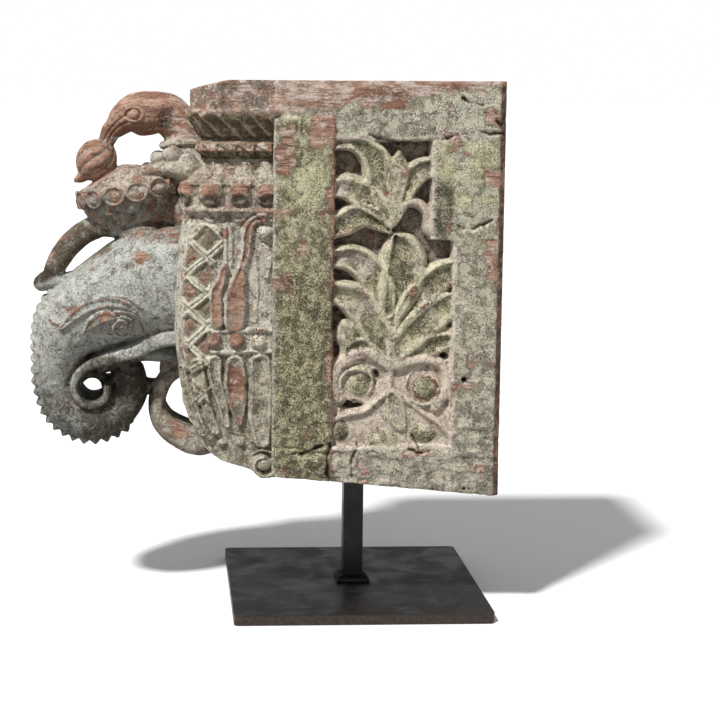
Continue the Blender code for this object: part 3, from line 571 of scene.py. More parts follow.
def sweep(stations, sides=40, samples=90, squareness=2.3, ridged=None):
    """A limb along a path of (x, z, radius, half width), with rounded ends.

    Cross ridges run over its outer edge between two shares of its length.
    """
    path = smooth_curve(stations, samples)
    tangent = np.gradient(path[:, :2], axis=0)
    tangent /= np.hypot(*tangent.T)[:, None]
    swell = np.zeros(len(path))
    if ridged:
        outer = path[:, :2] + np.stack([tangent[:, 1], -tangent[:, 0]], axis=1) * path[:, 2:3]
        run = np.concatenate([[0], np.cumsum(np.hypot(*np.diff(outer, axis=0).T))])
        share = np.linspace(0, 1, len(path))
        growth = 0.75 + 0.35 * ramp(share, 0.5, 0.8)
        tooth = 1 - zigzag(run + 1.2 * np.sin(run / 17), 10.5)
        swell = 5 * tooth * growth * ramp(share, ridged[0] - 0.02, ridged[0])
        swell *= ramp(share, ridged[1] + 0.02, ridged[1])
    rows = [[*p, *t, s] for p, t, s in zip(path, tangent, swell)]
    for end, sign in ((0, -1), (-1, 1)):
        base = rows[end]
        for degrees in (35, 62, 82):
            lean = math.radians(degrees)
            reach = sign * min(base[2], base[3]) * math.sin(lean)
            dome = [base[0] + base[4] * reach, base[1] + base[5] * reach]
            dome += [base[2] * math.cos(lean), base[3] * math.cos(lean), base[4], base[5], 0]
            rows = rows + [dome] if sign > 0 else [dome] + rows
    angle = np.linspace(0, 2 * math.pi, sides, endpoint=False)
    c, s = np.cos(angle), np.sin(angle)
    c = np.sign(c) * np.abs(c) ** (2 / squareness)
    s = np.sign(s) * np.abs(s) ** (2 / squareness)
    outlines = []
    for px, pz, radius, half, tx, tz, lift in rows:
        across = radius * c - lift * ramp(-c, 0.7, 0.96)
        outlines.append(np.stack([px - tz * across, half * s, pz + tx * across], axis=1))
    return loft(outlines)


def ball(at, radii):
    """A ball of three radii."""
    shape = bmesh.new()
    bmesh.ops.create_icosphere(shape, subdivisions=4, radius=1)
    points = np.array([v.co for v in shape.verts]) * radii + at
    faces = [[v.index for v in f.verts] for f in shape.faces]
    shape.free()
    return points, faces


def both_sides(shape):
    """A shape and its mirror image on the far side."""
    points, faces = shape
    return [shape, (points * (1, -1, 1), [f[::-1] for f in faces])]


def tilted(points, degrees, centre):
    """Points turned about Y and moved."""
    c, s = math.cos(math.radians(degrees)), math.sin(math.radians(degrees))
    x, z = points[:, 0] * c - points[:, 2] * s, points[:, 0] * s + points[:, 2] * c
    return np.stack([x, points[:, 1], z], axis=1) + centre


def elephant():
    """Head and trunk in one sweep, with the lip, the ring it curls into, the throat and the jaw."""
    half, head = 40, 74
    trunk = (
        (84, 20, 58, head - 4), (50, 22, 57, head), (24, 20, 56, head), (-3, 10, 50, head),
        (-36, -7, 42, head - 8), (-58, -26, 37, 54), (-69, -54, 25, half + 4), (-70, -80, 21.5, half),
        (-61, -103, 21.5, half), (-39, -115, 21.5, half), (-15, -108, 21, half - 4),
        (-1, -90, 20, half - 10), (0, -72, 18, half - 16),
    )
    points, faces = sweep(trunk, sides=300, samples=560, squareness=2.5, ridged=(0.44, 0.88))
    facing = ramp(np.abs(points[:, 1]), 38, 52)
    wx = points[:, 0] + 0.7 * flat_noise(points[:, 0], points[:, 2], 12, 41)
    points[:, 1] += np.sign(points[:, 1]) * face_relief(wx, points[:, 2]) * facing
    parts = [(points, faces)]
    lip = (
        (52, -27, 9, 66), (33, -30, 9, 65), (3, -43, 8, 60), (-25, -52, 7, 52), (-41, -60, 5.5, half + 6),
        (-51, -71, 4.4, half + 3), (-52, -84, 4, half + 2), (-43, -96, 4, half + 2), (-30, -97, 4, half + 1),
        (-21, -89, 4, half), (-20, -78, 4, half - 2),
    )
    parts.append(sweep(lip, sides=120, samples=260, squareness=5))
    turn = np.linspace(0, 2 * math.pi, 13)
    ring = [(-36 + 14.5 * math.cos(a), -85 + 14.5 * math.sin(a), 5.2, 9) for a in turn]
    parts.append(sweep(ring, samples=80))
    parts.append(sweep(((-26, -62, 9, 22), (-10, -56, 10, 24), (14, -50, 8, 28), (44, -48, 12, 32))))
    web = (
        (2, -64, 9, 20), (6, -80, 12, 20), (20, -84, 8, 16), (36, -80, 7, 16), (42, -64, 11, 20),
        (48, -50, 12, 24),
    )
    parts.append(sweep(web))
    jaw = (
        (62, -66, 6, 26), (46, -69, 7, 28), (34, -82, 8, 30), (29, -101, 9, 32), (36, -119, 12, 34),
        (52, -131, 14, 36), (70, -137, 15, 38), (90, -130, 16, 38),
    )
    parts.append(sweep(jaw, squareness=3))
    return [(points + (CROWN[0], 0, CROWN[1]), faces) for points, faces in parts]


def bird():
    """Collar, arched neck, head and hooked beak, and the ribbed fruit it holds."""
    half = 19
    neck = (
        (-160, 308, 30, 34), (-168, 330, 21, half + 4), (-173, 347, 19.5, half - 1),
        (-179, 356, 20, half - 1), (-187, 363, 20.5, half - 1), (-196, 365.5, 20.5, half),
        (-207, 364.5, 22, half), (-220, 363, 21, half), (-230, 359, 16.5, half - 2),
        (-237, 352.5, 12.3, half - 6), (-243, 346, 10, half - 9), (-248, 336, 8, half - 11),
    )
    points, faces = sweep(neck, sides=170, samples=320, squareness=2.1)
    facing = ramp(np.abs(points[:, 1]), 4, 8)
    points[:, 1] += np.sign(points[:, 1]) * beak_relief(points[:, 0], points[:, 2]) * facing
    parts = [(points, faces)]
    collar = ((-192, 333, 4, 20), (-178, 335, 5, 24), (-160, 336, 5, 26))
    parts.append(sweep(collar, squareness=2, samples=40))
    tufts = ((-197, 19, 321, 8), (-183, 27, 325, 10), (-168, 30, 319, 9), (-207, 24, 309, 8))
    for at, across, lift, size in tufts:
        parts += both_sides(ball((at, -across, lift), (size, size * 0.8, size * 0.85)))
    shoulders = ((-204, 308, 8, 28), (-186, 311, 12, 38), (-164, 309, 17, 46))
    parts.append(sweep(shoulders, squareness=2, samples=40))

    turn = np.linspace(0, 2 * math.pi, FRUIT_LOBES * 16, endpoint=False)
    outlines = []
    for level in np.linspace(0.97, 0.03, 44):
        swirl = turn + 0.9 * (level - 0.5)
        lobes = 0.77 + 0.23 * np.abs(np.cos(swirl * FRUIT_LOBES / 2)) ** 0.5
        lobed = 20.8 * math.sin(math.pi * level) ** 0.55 * lobes
        height = np.full(len(turn), (1 - 2 * level) * 22.5)
        outlines.append(np.stack([lobed * np.cos(turn), lobed * np.sin(turn), height], axis=1))
    points, faces = loft(outlines)
    parts.append((tilted(points, -38, (-257.5, 0, 318.5)), faces))
    parts.append(sweep(((-264, 310, 10, 10), (-272, 302, 6, 6), (-278, 298, 3, 3)), samples=20))
    return parts


# %% [markdown]
# The lotus is a bowl under a drooping whorl, and its edge is a row of round petals with raised
# rims. One petal is modelled, and Geometry Nodes stand copies of it round an ellipse, each facing
# outward, so that their number and size stay easy to change.

# %% One petal, and a whorl of petals made with Geometry Nodes
def mesh_object(name, points, faces):
    """A mesh object from points in millimetres."""
    mesh = bpy.data.meshes.new(name)
    mesh.from_pydata((np.asarray(points) * MM).tolist(), [], faces)
    mesh.validate()
    obj = bpy.data.objects.new(name, mesh)
    scene.collection.objects.link(obj)
    return obj


def settle(obj):
    """Turns an object's modifiers into its mesh."""
    bpy.context.view_layer.update()
    mesh = bpy.data.meshes.new_from_object(obj.evaluated_get(bpy.context.evaluated_depsgraph_get()))
    obj.modifiers.clear()
    obj.data = mesh
    return obj


def node(tree, kind, at=(0, 0), **settings):
    """A node with its settings."""
    made = tree.nodes.new(kind)
    made.location = at
    for key, value in settings.items():
        setattr(made, key, value)
    return made


def petal_whorl(count, length, width, phase):
    """Round rimmed petals in an ellipse, as points and faces in millimetres."""
    profile = (
        (0.02, -0.6), (0.4, -1.0), (0.66, -1.3), (0.78, -0.6), (0.88, 0.5), (0.96, 0.3), (1.0, -0.9),
        (0.96, -3.5), (0.6, -6), (0.02, -6.5),
    )
    turn = np.linspace(0, 2 * math.pi, 28, endpoint=False)
    rings = [
        np.stack([np.full_like(turn, depth), np.cos(turn) * r * 11.4, np.sin(turn) * r * 9.6], axis=1)
        for r, depth in profile
    ]
    petal = mesh_object("one_petal", *loft(rings))
    holder = mesh_object("petal_whorl", np.zeros((1, 3)), [])
    tree = bpy.data.node_groups.new("petals round an ellipse", "GeometryNodeTree")
    tree.interface.new_socket("Geometry", in_out="INPUT", socket_type="NodeSocketGeometry")
    for name, kind in (
        ("Count", "Int"), ("Size", "Vector"), ("Phase", "Float"), ("Petal", "Object"),
        ("Finish", "Material"),
    ):
        tree.interface.new_socket(name, in_out="INPUT", socket_type="NodeSocket" + kind)
    tree.interface.new_socket("Geometry", in_out="OUTPUT", socket_type="NodeSocketGeometry")
    given, result = node(tree, "NodeGroupInput", (-900, 0)), node(tree, "NodeGroupOutput", (700, 0))
    circle = node(tree, "GeometryNodeMeshCircle", (-700, 200))
    circle.inputs["Radius"].default_value = 1
    spun = node(tree, "GeometryNodeTransform", (-500, 200))
    axis = node(tree, "ShaderNodeCombineXYZ", (-700, -100))
    sized = node(tree, "GeometryNodeTransform", (-300, 200))
    facing = node(tree, "FunctionNodeAlignRotationToVector", (-300, -150), axis="X")
    place = node(tree, "GeometryNodeInputPosition", (-500, -150))
    instances = node(tree, "GeometryNodeInstanceOnPoints", (-50, 150))
    info = node(tree, "GeometryNodeObjectInfo", (-300, -350))
    real = node(tree, "GeometryNodeRealizeInstances", (200, 150))
    finish = node(tree, "GeometryNodeSetMaterial", (450, 100))
    for source, out, target, into in (
        (given, "Count", circle, "Vertices"), (circle, "Mesh", spun, "Geometry"),
        (given, "Phase", axis, "Z"), (axis, "Vector", spun, "Rotation"),
        (spun, "Geometry", sized, "Geometry"), (given, "Size", sized, "Scale"),
        (sized, "Geometry", instances, "Points"), (place, "Position", facing, "Vector"),
        (facing, "Rotation", instances, "Rotation"), (given, "Petal", info, "Object"),
        (info, "Geometry", instances, "Instance"), (instances, "Instances", real, "Geometry"),
        (real, "Geometry", finish, "Geometry"), (given, "Finish", finish, "Material"),
        (finish, "Geometry", result, "Geometry"),
    ):
        tree.links.new(source.outputs[out], target.inputs[into])
    modifier = holder.modifiers.new("Petals", "NODES")
    modifier.node_group = tree
    values = {
        "Count": count, "Size": (length / 2 * MM, width / 2 * MM, 1), "Phase": math.radians(phase),
        "Petal": petal,
    }
    for item in tree.interface.items_tree:
        if item.in_out == "INPUT" and item.name in values:
            modifier[item.identifier] = values[item.name]
    settle(holder)
    points = np.array([v.co for v in holder.data.vertices]) / MM
    faces = [list(p.vertices) for p in holder.data.polygons]
    for obj in (holder, petal):
        bpy.data.objects.remove(obj)
    return points, faces


def lotus():
    """The flower on the crown, its petals, its curved stem, and the wood that links it to the capital."""
    turn = np.linspace(0, 2 * math.pi, LOTUS_PETALS * 16, endpoint=False)
    petal = np.abs(np.cos((turn - math.radians(FIRST_PETAL)) * LOTUS_PETALS / 2))
    bowl = ((-40, 0.10), (-38.5, 0.30), (-34, 0.52), (-27, 0.70), (-18, 0.83), (-9, 0.88), (-3, 0.87))
    whorl = ((-2, 0.92), (2, 0.95), (6, 0.92), (13, 0.75), (20, 0.48), (26, 0.22), (28, 0.06))
    outlines = []
    for rows, scallop in ((bowl, 0), (whorl, 1)):
        for height, share in smooth_curve(rows, 16):
            fluted = 0.025 * (1 - scallop) * petal * ramp(share, 0.5, 0.8)
            lobed = share * (1 + 0.05 * scallop * petal * share) - fluted
            x, y = lobed * 54 * np.cos(turn), lobed * 51 * np.sin(turn)
            outlines.append(np.stack([x, y, height - 3 * scallop * petal * share + 0 * turn], axis=1))
    flower, faces = loft(outlines)
    discs, disc_faces = petal_whorl(LOTUS_PETALS, 104, 98, FIRST_PETAL)
    discs[:, 2] += 1
    centre = (-226, 0, 287)
    parts = [
        (tilted(flower, LOTUS_LEAN, centre), faces),
        (tilted(discs, LOTUS_LEAN, centre), disc_faces),
    ]
    half = 13
    stem = (
        (-240, 256, 15, half + 8), (-252, 254, 12, half + 2), (-268, 248, 11.8, half),
        (-284, 235, 11.8, half), (-295, 220, 11, half), (-301, 207, 10, half),
    )
    foot = ((-312, 197, 9, half + 1), (-304, 200, 10, half + 2), (-292, 198, 9, half), (-280, 200, 9, half))
    parts += [sweep(stem, samples=90), sweep(foot, samples=40)]
    parts.append(sweep(((-224, 250, 14, 34), (-206, 244, 16, 44)), samples=20))
    parts.append(sweep(((-206, 272, 18, 22), (-168, 268, 22, 26)), samples=20))
    return parts


# %% [markdown]
# ## Fusing and weathering the timber
#
# The corbel is one log. Here it is made as three skins that reach into each other, the block, the
# body and the head, so that each has points enough for fine relief. A voxel remesh melts the forms
# of a skin into one. Then it is weathered: shallow dents, small chips and a little grain push each
# point in or out along its normal. How far a point stands above the smoothed shape around it is
# kept, because paint wears off ridges and dirt gathers in hollows, and because the hollows are
# darkened as painted shade and the ridges lightened as a painted highlight. Last, flat places give
# up their points.

# %% Build the timber
def fused(name, shapes, voxel):
    """One object with one skin from several shapes."""
    points, faces, start = [], [], 0
    for shape_points, shape_faces in shapes:
        points.append(shape_points)
        faces += [[i + start for i in face] for face in shape_faces]
        start += len(shape_points)
    obj = mesh_object(name, np.vstack(points), faces)
    fuse = obj.modifiers.new("Fuse", "REMESH")
    fuse.mode = "VOXEL"
    fuse.voxel_size = voxel * MM
    return settle(obj)


def vertices(obj):
    """A mesh's points in millimetres."""
    flat = np.empty(len(obj.data.vertices) * 3, np.float32)
    obj.data.vertices.foreach_get("co", flat)
    return flat.reshape(-1, 3).astype(float) / MM


def move_vertices(obj, points):
    obj.data.vertices.foreach_set("co", (points * MM).astype(np.float32).ravel())
    obj.data.update()


def vertex_normals(obj):
    flat = np.empty(len(obj.data.vertices) * 3, np.float32)
    obj.data.vertex_normals.foreach_get("vector", flat)
    return flat.reshape(-1, 3).astype(float)


def relaxed(points, edges, rounds):
    """Points after each has gone to the middle of its neighbours several times."""
    count = len(points)
    degree = np.bincount(edges.ravel(), minlength=count)[:, None]
    for _ in range(rounds):
        total = np.empty_like(points)
        for axis in range(3):
            total[:, axis] = np.bincount(edges[:, 0], points[edges[:, 1], axis], count)
            total[:, axis] += np.bincount(edges[:, 1], points[edges[:, 0], axis], count)
        points = 0.4 * points + 0.6 * total / degree
    return points


BAR_SIDE, PLATE_THICKNESS, SOCKET_CLEARANCE = 20, 10, 0.3
TRIANGLES = 190000


def weathered(skin, normals):
    """A skin with its dents, chips and grain, kept inside the timber's box."""
    flat_face = (skin[:, 0] > WALL_X - 7) | (skin[:, 2] > BLOCK_HEIGHT - 4)
    strength = np.where(flat_face, 0.5, 1.0)
    lumps = 0.4 * rough(skin, 14, 51) + 0.18 * rough(skin, 4.5, 57, 2)
    along_grain = rough(skin * (0.12, 1, 1), 2.6, 61, 2)
    chips = ramp(rough(skin, 9, 71), 0.34, 0.42) + 0.8 * ramp(rough(skin, 4, 75, 2), 0.45, 0.52)
    moved = skin + normals * ((lumps + 0.13 * along_grain - 0.5 * chips) * strength - 0.1)[:, None]
    low, high = (np.array(corner) / MM - (0, 0, HEEL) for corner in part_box("corbel"))
    return np.clip(moved, low + 0.01, high - 0.01)


def bored(obj):
    """Cuts the square socket of the bar."""
    bar_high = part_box("upright_bar")[1].z / MM + SOCKET_CLEARANCE
    half = BAR_SIDE / 2 + SOCKET_CLEARANCE
    ring = ((-half, -half), (half, -half), (half, half), (-half, half))
    outlines = [[(x, y, z) for x, y in ring] for z in (PLATE_THICKNESS, bar_high)]
    socket = mesh_object("bar_socket", *loft(outlines))
    bore = obj.modifiers.new("Bore", "BOOLEAN")
    bore.operation = "DIFFERENCE"
    bore.solver = "MANIFOLD"
    bore.object = socket
    settle(obj)
    bpy.data.objects.remove(socket)


def carved(name, shapes, voxel):
    """A piece of the timber, with its points and how far each stands above the shape around it."""
    obj = fused(name, shapes, voxel * (1))
    skin, normals = vertices(obj), vertex_normals(obj)
    edges = np.empty(len(obj.data.edges) * 2, np.int32)
    obj.data.edges.foreach_get("vertices", edges)
    edges = edges.reshape(-1, 2)
    skin = weathered(skin, normals)
    near = np.einsum("ij,ij->i", skin - relaxed(skin, edges, 8), normals)
    wide = np.einsum("ij,ij->i", skin - relaxed(skin, edges, 60), normals)
    move_vertices(obj, skin)
    tree = KDTree(len(skin))
    for i, p in enumerate(skin):
        tree.insert(p, i)
    tree.balance()
    obj.data.calc_loop_triangles()
    thin = obj.modifiers.new("Thin", "DECIMATE")
    thin.ratio = min(1.0, TRIANGLES / len(obj.data.loop_triangles))
    settle(obj)
    move_vertices(obj, vertices(obj) + (0, 0, HEEL))
    if name == "corbel_block":
        bored(obj)
    obj.data.shade_smooth()
    place = vertices(obj) - (0, 0, HEEL)
    nearest = np.array([tree.find(p)[1] for p in place])
    triangles = sum(len(p.vertices) - 2 for p in obj.data.polygons)
    spent = round(time.time() - started, 1)
    print(name, len(skin), "points fused,", triangles, "triangles kept,", spent, "s")
    x, y, z = place.T
    return SimpleNamespace(
        obj=obj, x=x, y=y, z=z, side=np.abs(y), near=near[nearest], wide=wide[nearest], place=place,
        wander=rough(place, 22, 81), fine=rough(place, 8, 85), patches=rough(place, 26, 101, 3),
    )


block = carved("corbel_block", [block_column(1.15)], 1.05)
body = carved("corbel_capital_and_body", [front_column(0.85)], 0.85)
head = carved("corbel_elephant_and_bird", [*elephant(), *lotus(), *bird()], 0.9)

# %% [markdown]
# ## Where each paint lies
#
# The old paint isn't the same everywhere: olive and yellow on the frame, pinkish cream in the
# panel, grey-green on the head, terracotta wood on the bird. Each zone gets the colour of its
# upper coat and its lower coat, how much of each has gone, and how speckled it is. Some zones,
# under the capital's slab and ring, on the post's back edge, on the lower head and in the trunk's
# curl, are darker as painted shade. The zones are soft masks over the surface, kept as named
# attributes that the material reads.


# %% Zones as attributes
def srgb(*values):
    """A colour picked on screen, as the linear values that nodes use."""
    c = np.array(values, float) / 255
    return np.where(c <= 0.04045, c / 12.92, ((c + 0.055) / 1.055) ** 2.4)


def between(value, low, high, soft=2.0):
    """1 between two values."""
    return ramp(value, low - soft, low + soft) * ramp(value, high + soft, high - soft)


def fresh_coat(skin):
    """Paint that is the same all over a piece, to lay the zones on."""
    count = len(skin.x)
    coat = {key: np.full(count, value) for key, value in COAT_LEVELS.items()}
    coat["upper"] = np.tile(srgb(176, 169, 148), (count, 1))
    coat["lower"] = np.tile(srgb(136, 127, 104), (count, 1))
    return coat


def lay(coat, mask, **values):
    """Blends the given paint into the zone of a mask."""
    mask = np.broadcast_to(mask, coat["pale"].shape)
    for key, value in values.items():
        tone = key in ("upper", "lower")
        share = mask[:, None] if tone else mask
        coat[key] = coat[key] * (1 - share) + (srgb(*value) if tone else value) * share


COAT_LEVELS = {"upper_gone": 0.4, "lower_gone": 0.35, "specks": 0.4, "pale": 0.4, "bleach": 0.4}
SAWN = {
    "upper": (164, 148, 132), "lower": (140, 118, 102), "upper_gone": 0.7, "lower_gone": 0.7,
    "bleach": 0.5, "specks": 0.2,
}
NAIL_HOLES = (((95, 114), 2.8), ((97, 8), 1.8))
BARE_PATCHES = (
    (-86, -69, 310, 357), (-53, -34, 336, 367), (-38, -32, 286, 300), (-87, -70, 271, 280),
    (-66, -56, 236, 252), (-5, 38, 371, 388), (111, 128, 298, 317), (84, 104, 103, 111),
    (-48, -40, 268, 274), (114, 124, 210, 246), (-88, -76, 198, 216), (40, 68, 40, 45),
)


def paint_block(s, coat):
    """Olive and yellow on the frame, pinkish cream in the panel, worn wood on the top rail."""
    post = between(s.x, POST_FRONT_X - 9, POST_BACK_X, 0.8) * ramp(s.z, 363, 361)
    right = np.where(s.z > SHOULDER_Z, SHOULDER_X, PANEL_BACK_X)
    in_panel = ramp(s.x, POST_BACK_X - 0.2, POST_BACK_X + 1) * ramp(right - s.x, -0.2, 1)
    in_panel = in_panel * between(s.z, PANEL_FOOT_Z, PANEL_HEAD_Z, 0.8) * ramp(s.side, 60, 62)
    frame_zone = (1 - in_panel) * (1 - post)
    low_part = ramp(s.z + 14 * s.wander, 260, 190)
    lay(coat, 1, upper=(198, 192, 168), lower=(160, 152, 126), upper_gone=0.42, lower_gone=0.22, specks=0.4)
    lay(coat, post, upper=(196, 189, 156), lower=(154, 145, 112), upper_gone=0.44, lower_gone=0.2, specks=0.5)
    lay(coat, post * low_part, upper=(200, 192, 154), lower=(142, 133, 102), upper_gone=0.46, specks=0.75)
    yellow = ramp(np.hypot((s.x + 54) / 20, (s.z - 300) / 24) + 0.4 * s.fine, 1.1, 0.8)
    lay(coat, post * yellow, upper=(204, 199, 160), lower=(178, 171, 134), upper_gone=0.25)
    stile = frame_zone * ramp(s.x, SHOULDER_X - 4, SHOULDER_X + 4)
    lay(coat, stile, upper=(200, 194, 172), lower=(168, 161, 138), upper_gone=0.40)
    yellow = ramp(s.wander + 0.010 * (s.z - 270), -0.1, 0.5) * ramp(s.z, 180, 230)
    lay(coat, stile * yellow, upper=(204, 199, 162), lower=(172, 164, 126), upper_gone=0.3)
    shoulder = frame_zone * between(s.x + 4 * s.fine, SHOULDER_X, PANEL_BACK_X, 2) * between(s.z, 250, 306, 5)
    lay(coat, shoulder, upper=(184, 178, 150), lower=(130, 124, 106), upper_gone=0.5, specks=0.8)
    foot = frame_zone * ramp(s.z, 150, 60)
    lay(coat, foot, upper=(200, 191, 170), lower=(164, 158, 142), upper_gone=0.42, specks=0.35)
    rail = s.z + 7 * s.wander - (368 + 0.13 * (s.x + 60))
    worn_rail = frame_zone * ramp(rail, -5, 6)
    lay(coat, worn_rail, upper_gone=0.74, lower_gone=0.8, bleach=0.8, specks=0.15, pale=0.6)
    lay(coat, worn_rail, upper=(214, 204, 190), lower=(186, 172, 156))
    under_rail = frame_zone * ramp(s.z, 338, 344) * ramp(rail, 2, -6)
    lay(coat, under_rail, upper=(208, 202, 180), lower=(172, 164, 144))
    inside = depth_in(s.x, s.z, POST_BACK_X, right, PANEL_FOOT_Z, PANEL_HEAD_Z)
    border = frame_zone * between(inside + 0.8 * s.fine, -3.4, 0.4, 0.5) * ramp(s.side, 60, 62)
    lay(coat, border, upper=(214, 201, 184), lower=(190, 174, 156), upper_gone=0.2)
    lay(coat, border, lower_gone=0.1, specks=0.1)
    for patch in BARE_PATCHES:
        inside = depth_in(s.x, s.z, *patch) + 5 * s.fine + 3 * s.wander
        bare = ramp(inside, -1.5, 1.5) * (1 - in_panel)
        lay(coat, bare, upper_gone=0.74, lower_gone=0.7, bleach=0.6, specks=0.25)
    bare = ramp(s.patches, 0.40, 0.50) * (1 - in_panel)
    lay(coat, bare, upper_gone=0.7, lower_gone=0.62, bleach=0.6)
    rough_x = s.x + 0.6 * s.fine
    # Bare reddish wood on the post's back edge, also painted shade of the post's side.
    worn_and_shaded_edge = post * ramp(rough_x, POST_BACK_X - 3.2, POST_BACK_X - 2.2)
    lay(coat, worn_and_shaded_edge, upper_gone=0.7, lower_gone=0.75, bleach=0.2)
    pale_edge = post * ramp(rough_x, POST_FRONT_X + 2.6, POST_FRONT_X + 1.4)
    lay(coat, pale_edge, upper=(210, 206, 192), upper_gone=0.1)

    depth = BLOCK_WIDTH / 2 - s.side
    share = panel_leaves(s.x - PANEL_MIDDLE_X, s.z - PANEL_FOOT_Z)[1] + 0.10 * s.fine
    lay(coat, in_panel, upper=(216, 200, 182), lower=(190, 172, 154), upper_gone=0.3)
    lay(coat, in_panel, lower_gone=0.2, specks=0.12)
    floor = in_panel * ramp(depth + s.fine, 13.5, 15.5)
    lay(coat, floor, upper=(158, 144, 130), lower=(128, 112, 98), upper_gone=0.45, specks=0.2)
    leaf = in_panel * ramp(share, 1.0, 0.9) * ramp(depth, 14, 12)
    lay(coat, leaf, upper=(212, 203, 174), lower=(186, 175, 146), upper_gone=0.25, specks=0.25)
    spoon = in_panel * ramp(share, 0.68, 0.48) * ramp(depth, 14, 12)
    black = 0.45 + 0.5 * ramp(s.wander, -0.3, 0.4)
    lay(coat, spoon, upper=(200, 192, 158), lower=(150, 142, 112), upper_gone=0.44)
    lay(coat, spoon, lower_gone=0.2, specks=black)
    lay(coat, spoon * ramp(s.patches, 0.05, 0.3), upper=(206, 194, 176), lower=(178, 162, 144), specks=0.2)
    red_edge = in_panel * between(share, 0.58, 0.74, 0.05) * ramp(s.wander, 0.0, 0.3) * ramp(depth, 14, 12)
    lay(coat, red_edge * 0.8, upper_gone=0.7, lower_gone=0.7, bleach=0.35)
    wall_edge = ramp(s.x + 0.8 * s.fine, WALL_X - 7, WALL_X - 5.2)
    lay(coat, wall_edge, upper=(140, 118, 104), lower=(112, 88, 76), upper_gone=0.7)
    lay(coat, wall_edge, lower_gone=0.5, bleach=0.1)
    back = ramp(s.x, WALL_X - 1.2, WALL_X - 0.4)
    top = ramp(s.z, BLOCK_HEIGHT - 2, BLOCK_HEIGHT - 0.8)
    lay(coat, np.maximum(back, top), **SAWN)
    dark = np.maximum(split(s.x, s.z, CRACKS, 1.9), 0.6 * split(s.x, s.z, GRAIN_LINES, 1.5))
    for at, radius in NAIL_HOLES:
        dark = np.maximum(dark, ramp(np.hypot(s.x - at[0], s.z - at[1]), radius + 0.6, radius - 0.4))
    return dark * (s.side > 60)


def paint_body(s, coat):
    """Grey cream with cream cords, brown in the meshes, and bare wood on what stands proud; olive under the
    slab and the ring, darkened there as painted shade, and painted shade under the drops.
    """
    run, corner = unrolled(s.x, s.y, s.z)
    body, capital = ramp(s.z, 268, 262), ramp(s.z, 262, 268)
    lay(coat, body, upper=(212, 206, 190), lower=(182, 173, 154), upper_gone=0.32)
    lay(coat, body, lower_gone=0.3, specks=0.3, pale=0.6)
    lay(coat, capital, upper=(200, 188, 170), lower=(166, 151, 130), upper_gone=0.4)
    lay(coat, capital, lower_gone=0.35, specks=0.3)
    netted = body * net_region(run, s.z, corner)
    lines = net_lines(run, s.z)
    mesh = netted * ramp(lines, 0.36, 0.31)
    lay(coat, mesh, upper=(182, 172, 148), lower=(158, 144, 122), upper_gone=0.45)
    mesh = netted * ramp(lines, 0.27, 0.18)
    lay(coat, mesh, upper=(164, 150, 128), upper_gone=0.62, lower_gone=0.55, bleach=0.45)
    cords = netted * ramp(lines, 0.33, 0.38)
    lay(coat, cords, upper=(212, 207, 186), lower=(190, 182, 160), upper_gone=0.2, specks=0.1)
    skirt = body * ramp(s.z, 140, 128)
    lay(coat, skirt, upper=(196, 188, 168), lower=(154, 144, 124), upper_gone=0.42)
    lay(coat, skirt, lower_gone=0.25, specks=0.4)
    lay(coat, skirt * ramp(s.near, 0.15, 0.5), upper=(214, 206, 180), upper_gone=0.2)
    slab = capital * ramp(s.z, 362, 368)
    lay(coat, slab, upper=(184, 172, 158), lower=(158, 142, 126), upper_gone=0.6)
    lay(coat, slab, lower_gone=0.5, bleach=0.7)
    chamfer = capital * between(s.z, 342, 366, 1)
    # Olive on the slab's underside, darkened as painted shade.
    lay(coat, chamfer, upper=(164, 150, 116), lower=(122, 108, 80), upper_gone=0.55)
    lay(coat, chamfer, lower_gone=0.25, pale=0.2)
    # Olive under the ring, darkened as painted shade.
    shaded_under_ring = capital * between(s.z, 323, 331, 1)
    lay(coat, shaded_under_ring, upper=(164, 156, 116), lower=(118, 108, 78), upper_gone=0.5, pale=0.2)
    ring = capital * between(s.z, 326, 342, 1) * ramp(s.near, 0.05, 0.25)
    red = np.maximum(ring * 0.8, chamfer * ramp(s.near, 0.2, 0.5) * 0.8)
    for at, radii in BEADS[:2]:
        share = np.hypot((run - at[0]) / radii[0], (s.z - at[1]) / radii[1])
        red = np.maximum(red, ramp(share, 0.95, 0.75) * 0.95)
    for spine in (*TASSELS, PETALS[0]):
        worn = body * ramp(along(run, s.z, spine), 0.85, 0.65) * ramp(s.wander, -0.9, -0.2)
        red = np.maximum(red, worn * 0.85)
    drops = ramp(np.hypot(drop_places(run) / 11, (s.z - 294) / 7), 1, 0.7)
    red = np.maximum(red, capital * drops * 0.85)
    red = np.maximum(red, body * ramp(along(run, s.z, [(*p, 2) for p in RIBBON]), 1.2, 0.7) * 0.6)
    red = np.maximum(red, ramp(np.hypot(run - 45, s.z - 253), 5, 4) * 0.9)
    red = np.maximum(red, ramp(s.near + 0.5 * s.wander, 0.7, 1.0) * 0.6)
    lay(coat, red, upper_gone=0.80, lower_gone=0.76, bleach=0.3, pale=0.25, specks=0.25)
    edges = chamfer * ramp(((run - 0.95 * (s.z - 341)) / 15) % 1 + 0.1 * s.fine, 0.72, 0.86)
    lay(coat, edges, upper=(206, 178, 158), lower=(176, 138, 116), upper_gone=0.35)
    lay(coat, edges, lower_gone=0.3, bleach=0.5)
    fall = np.array(TOP_FALL)
    top = BLOCK_HEIGHT + np.interp(START - s.x, fall[:, 0], fall[:, 1])
    lay(coat, ramp(s.z - top, -3, -1.6), **SAWN)
    # Painted shade under the row of drops and in the hollow under the ring, given to the hollow share.
    shade_under_drops = ramp(np.hypot(drop_places(run) / 10, (s.z - 284) / 7) + 0.4 * s.fine, 1, 0.7)
    return 0.8 * capital * np.maximum(shade_under_drops, between(s.z, 323, 330, 1) * ramp(s.near, 0.1, -0.1))


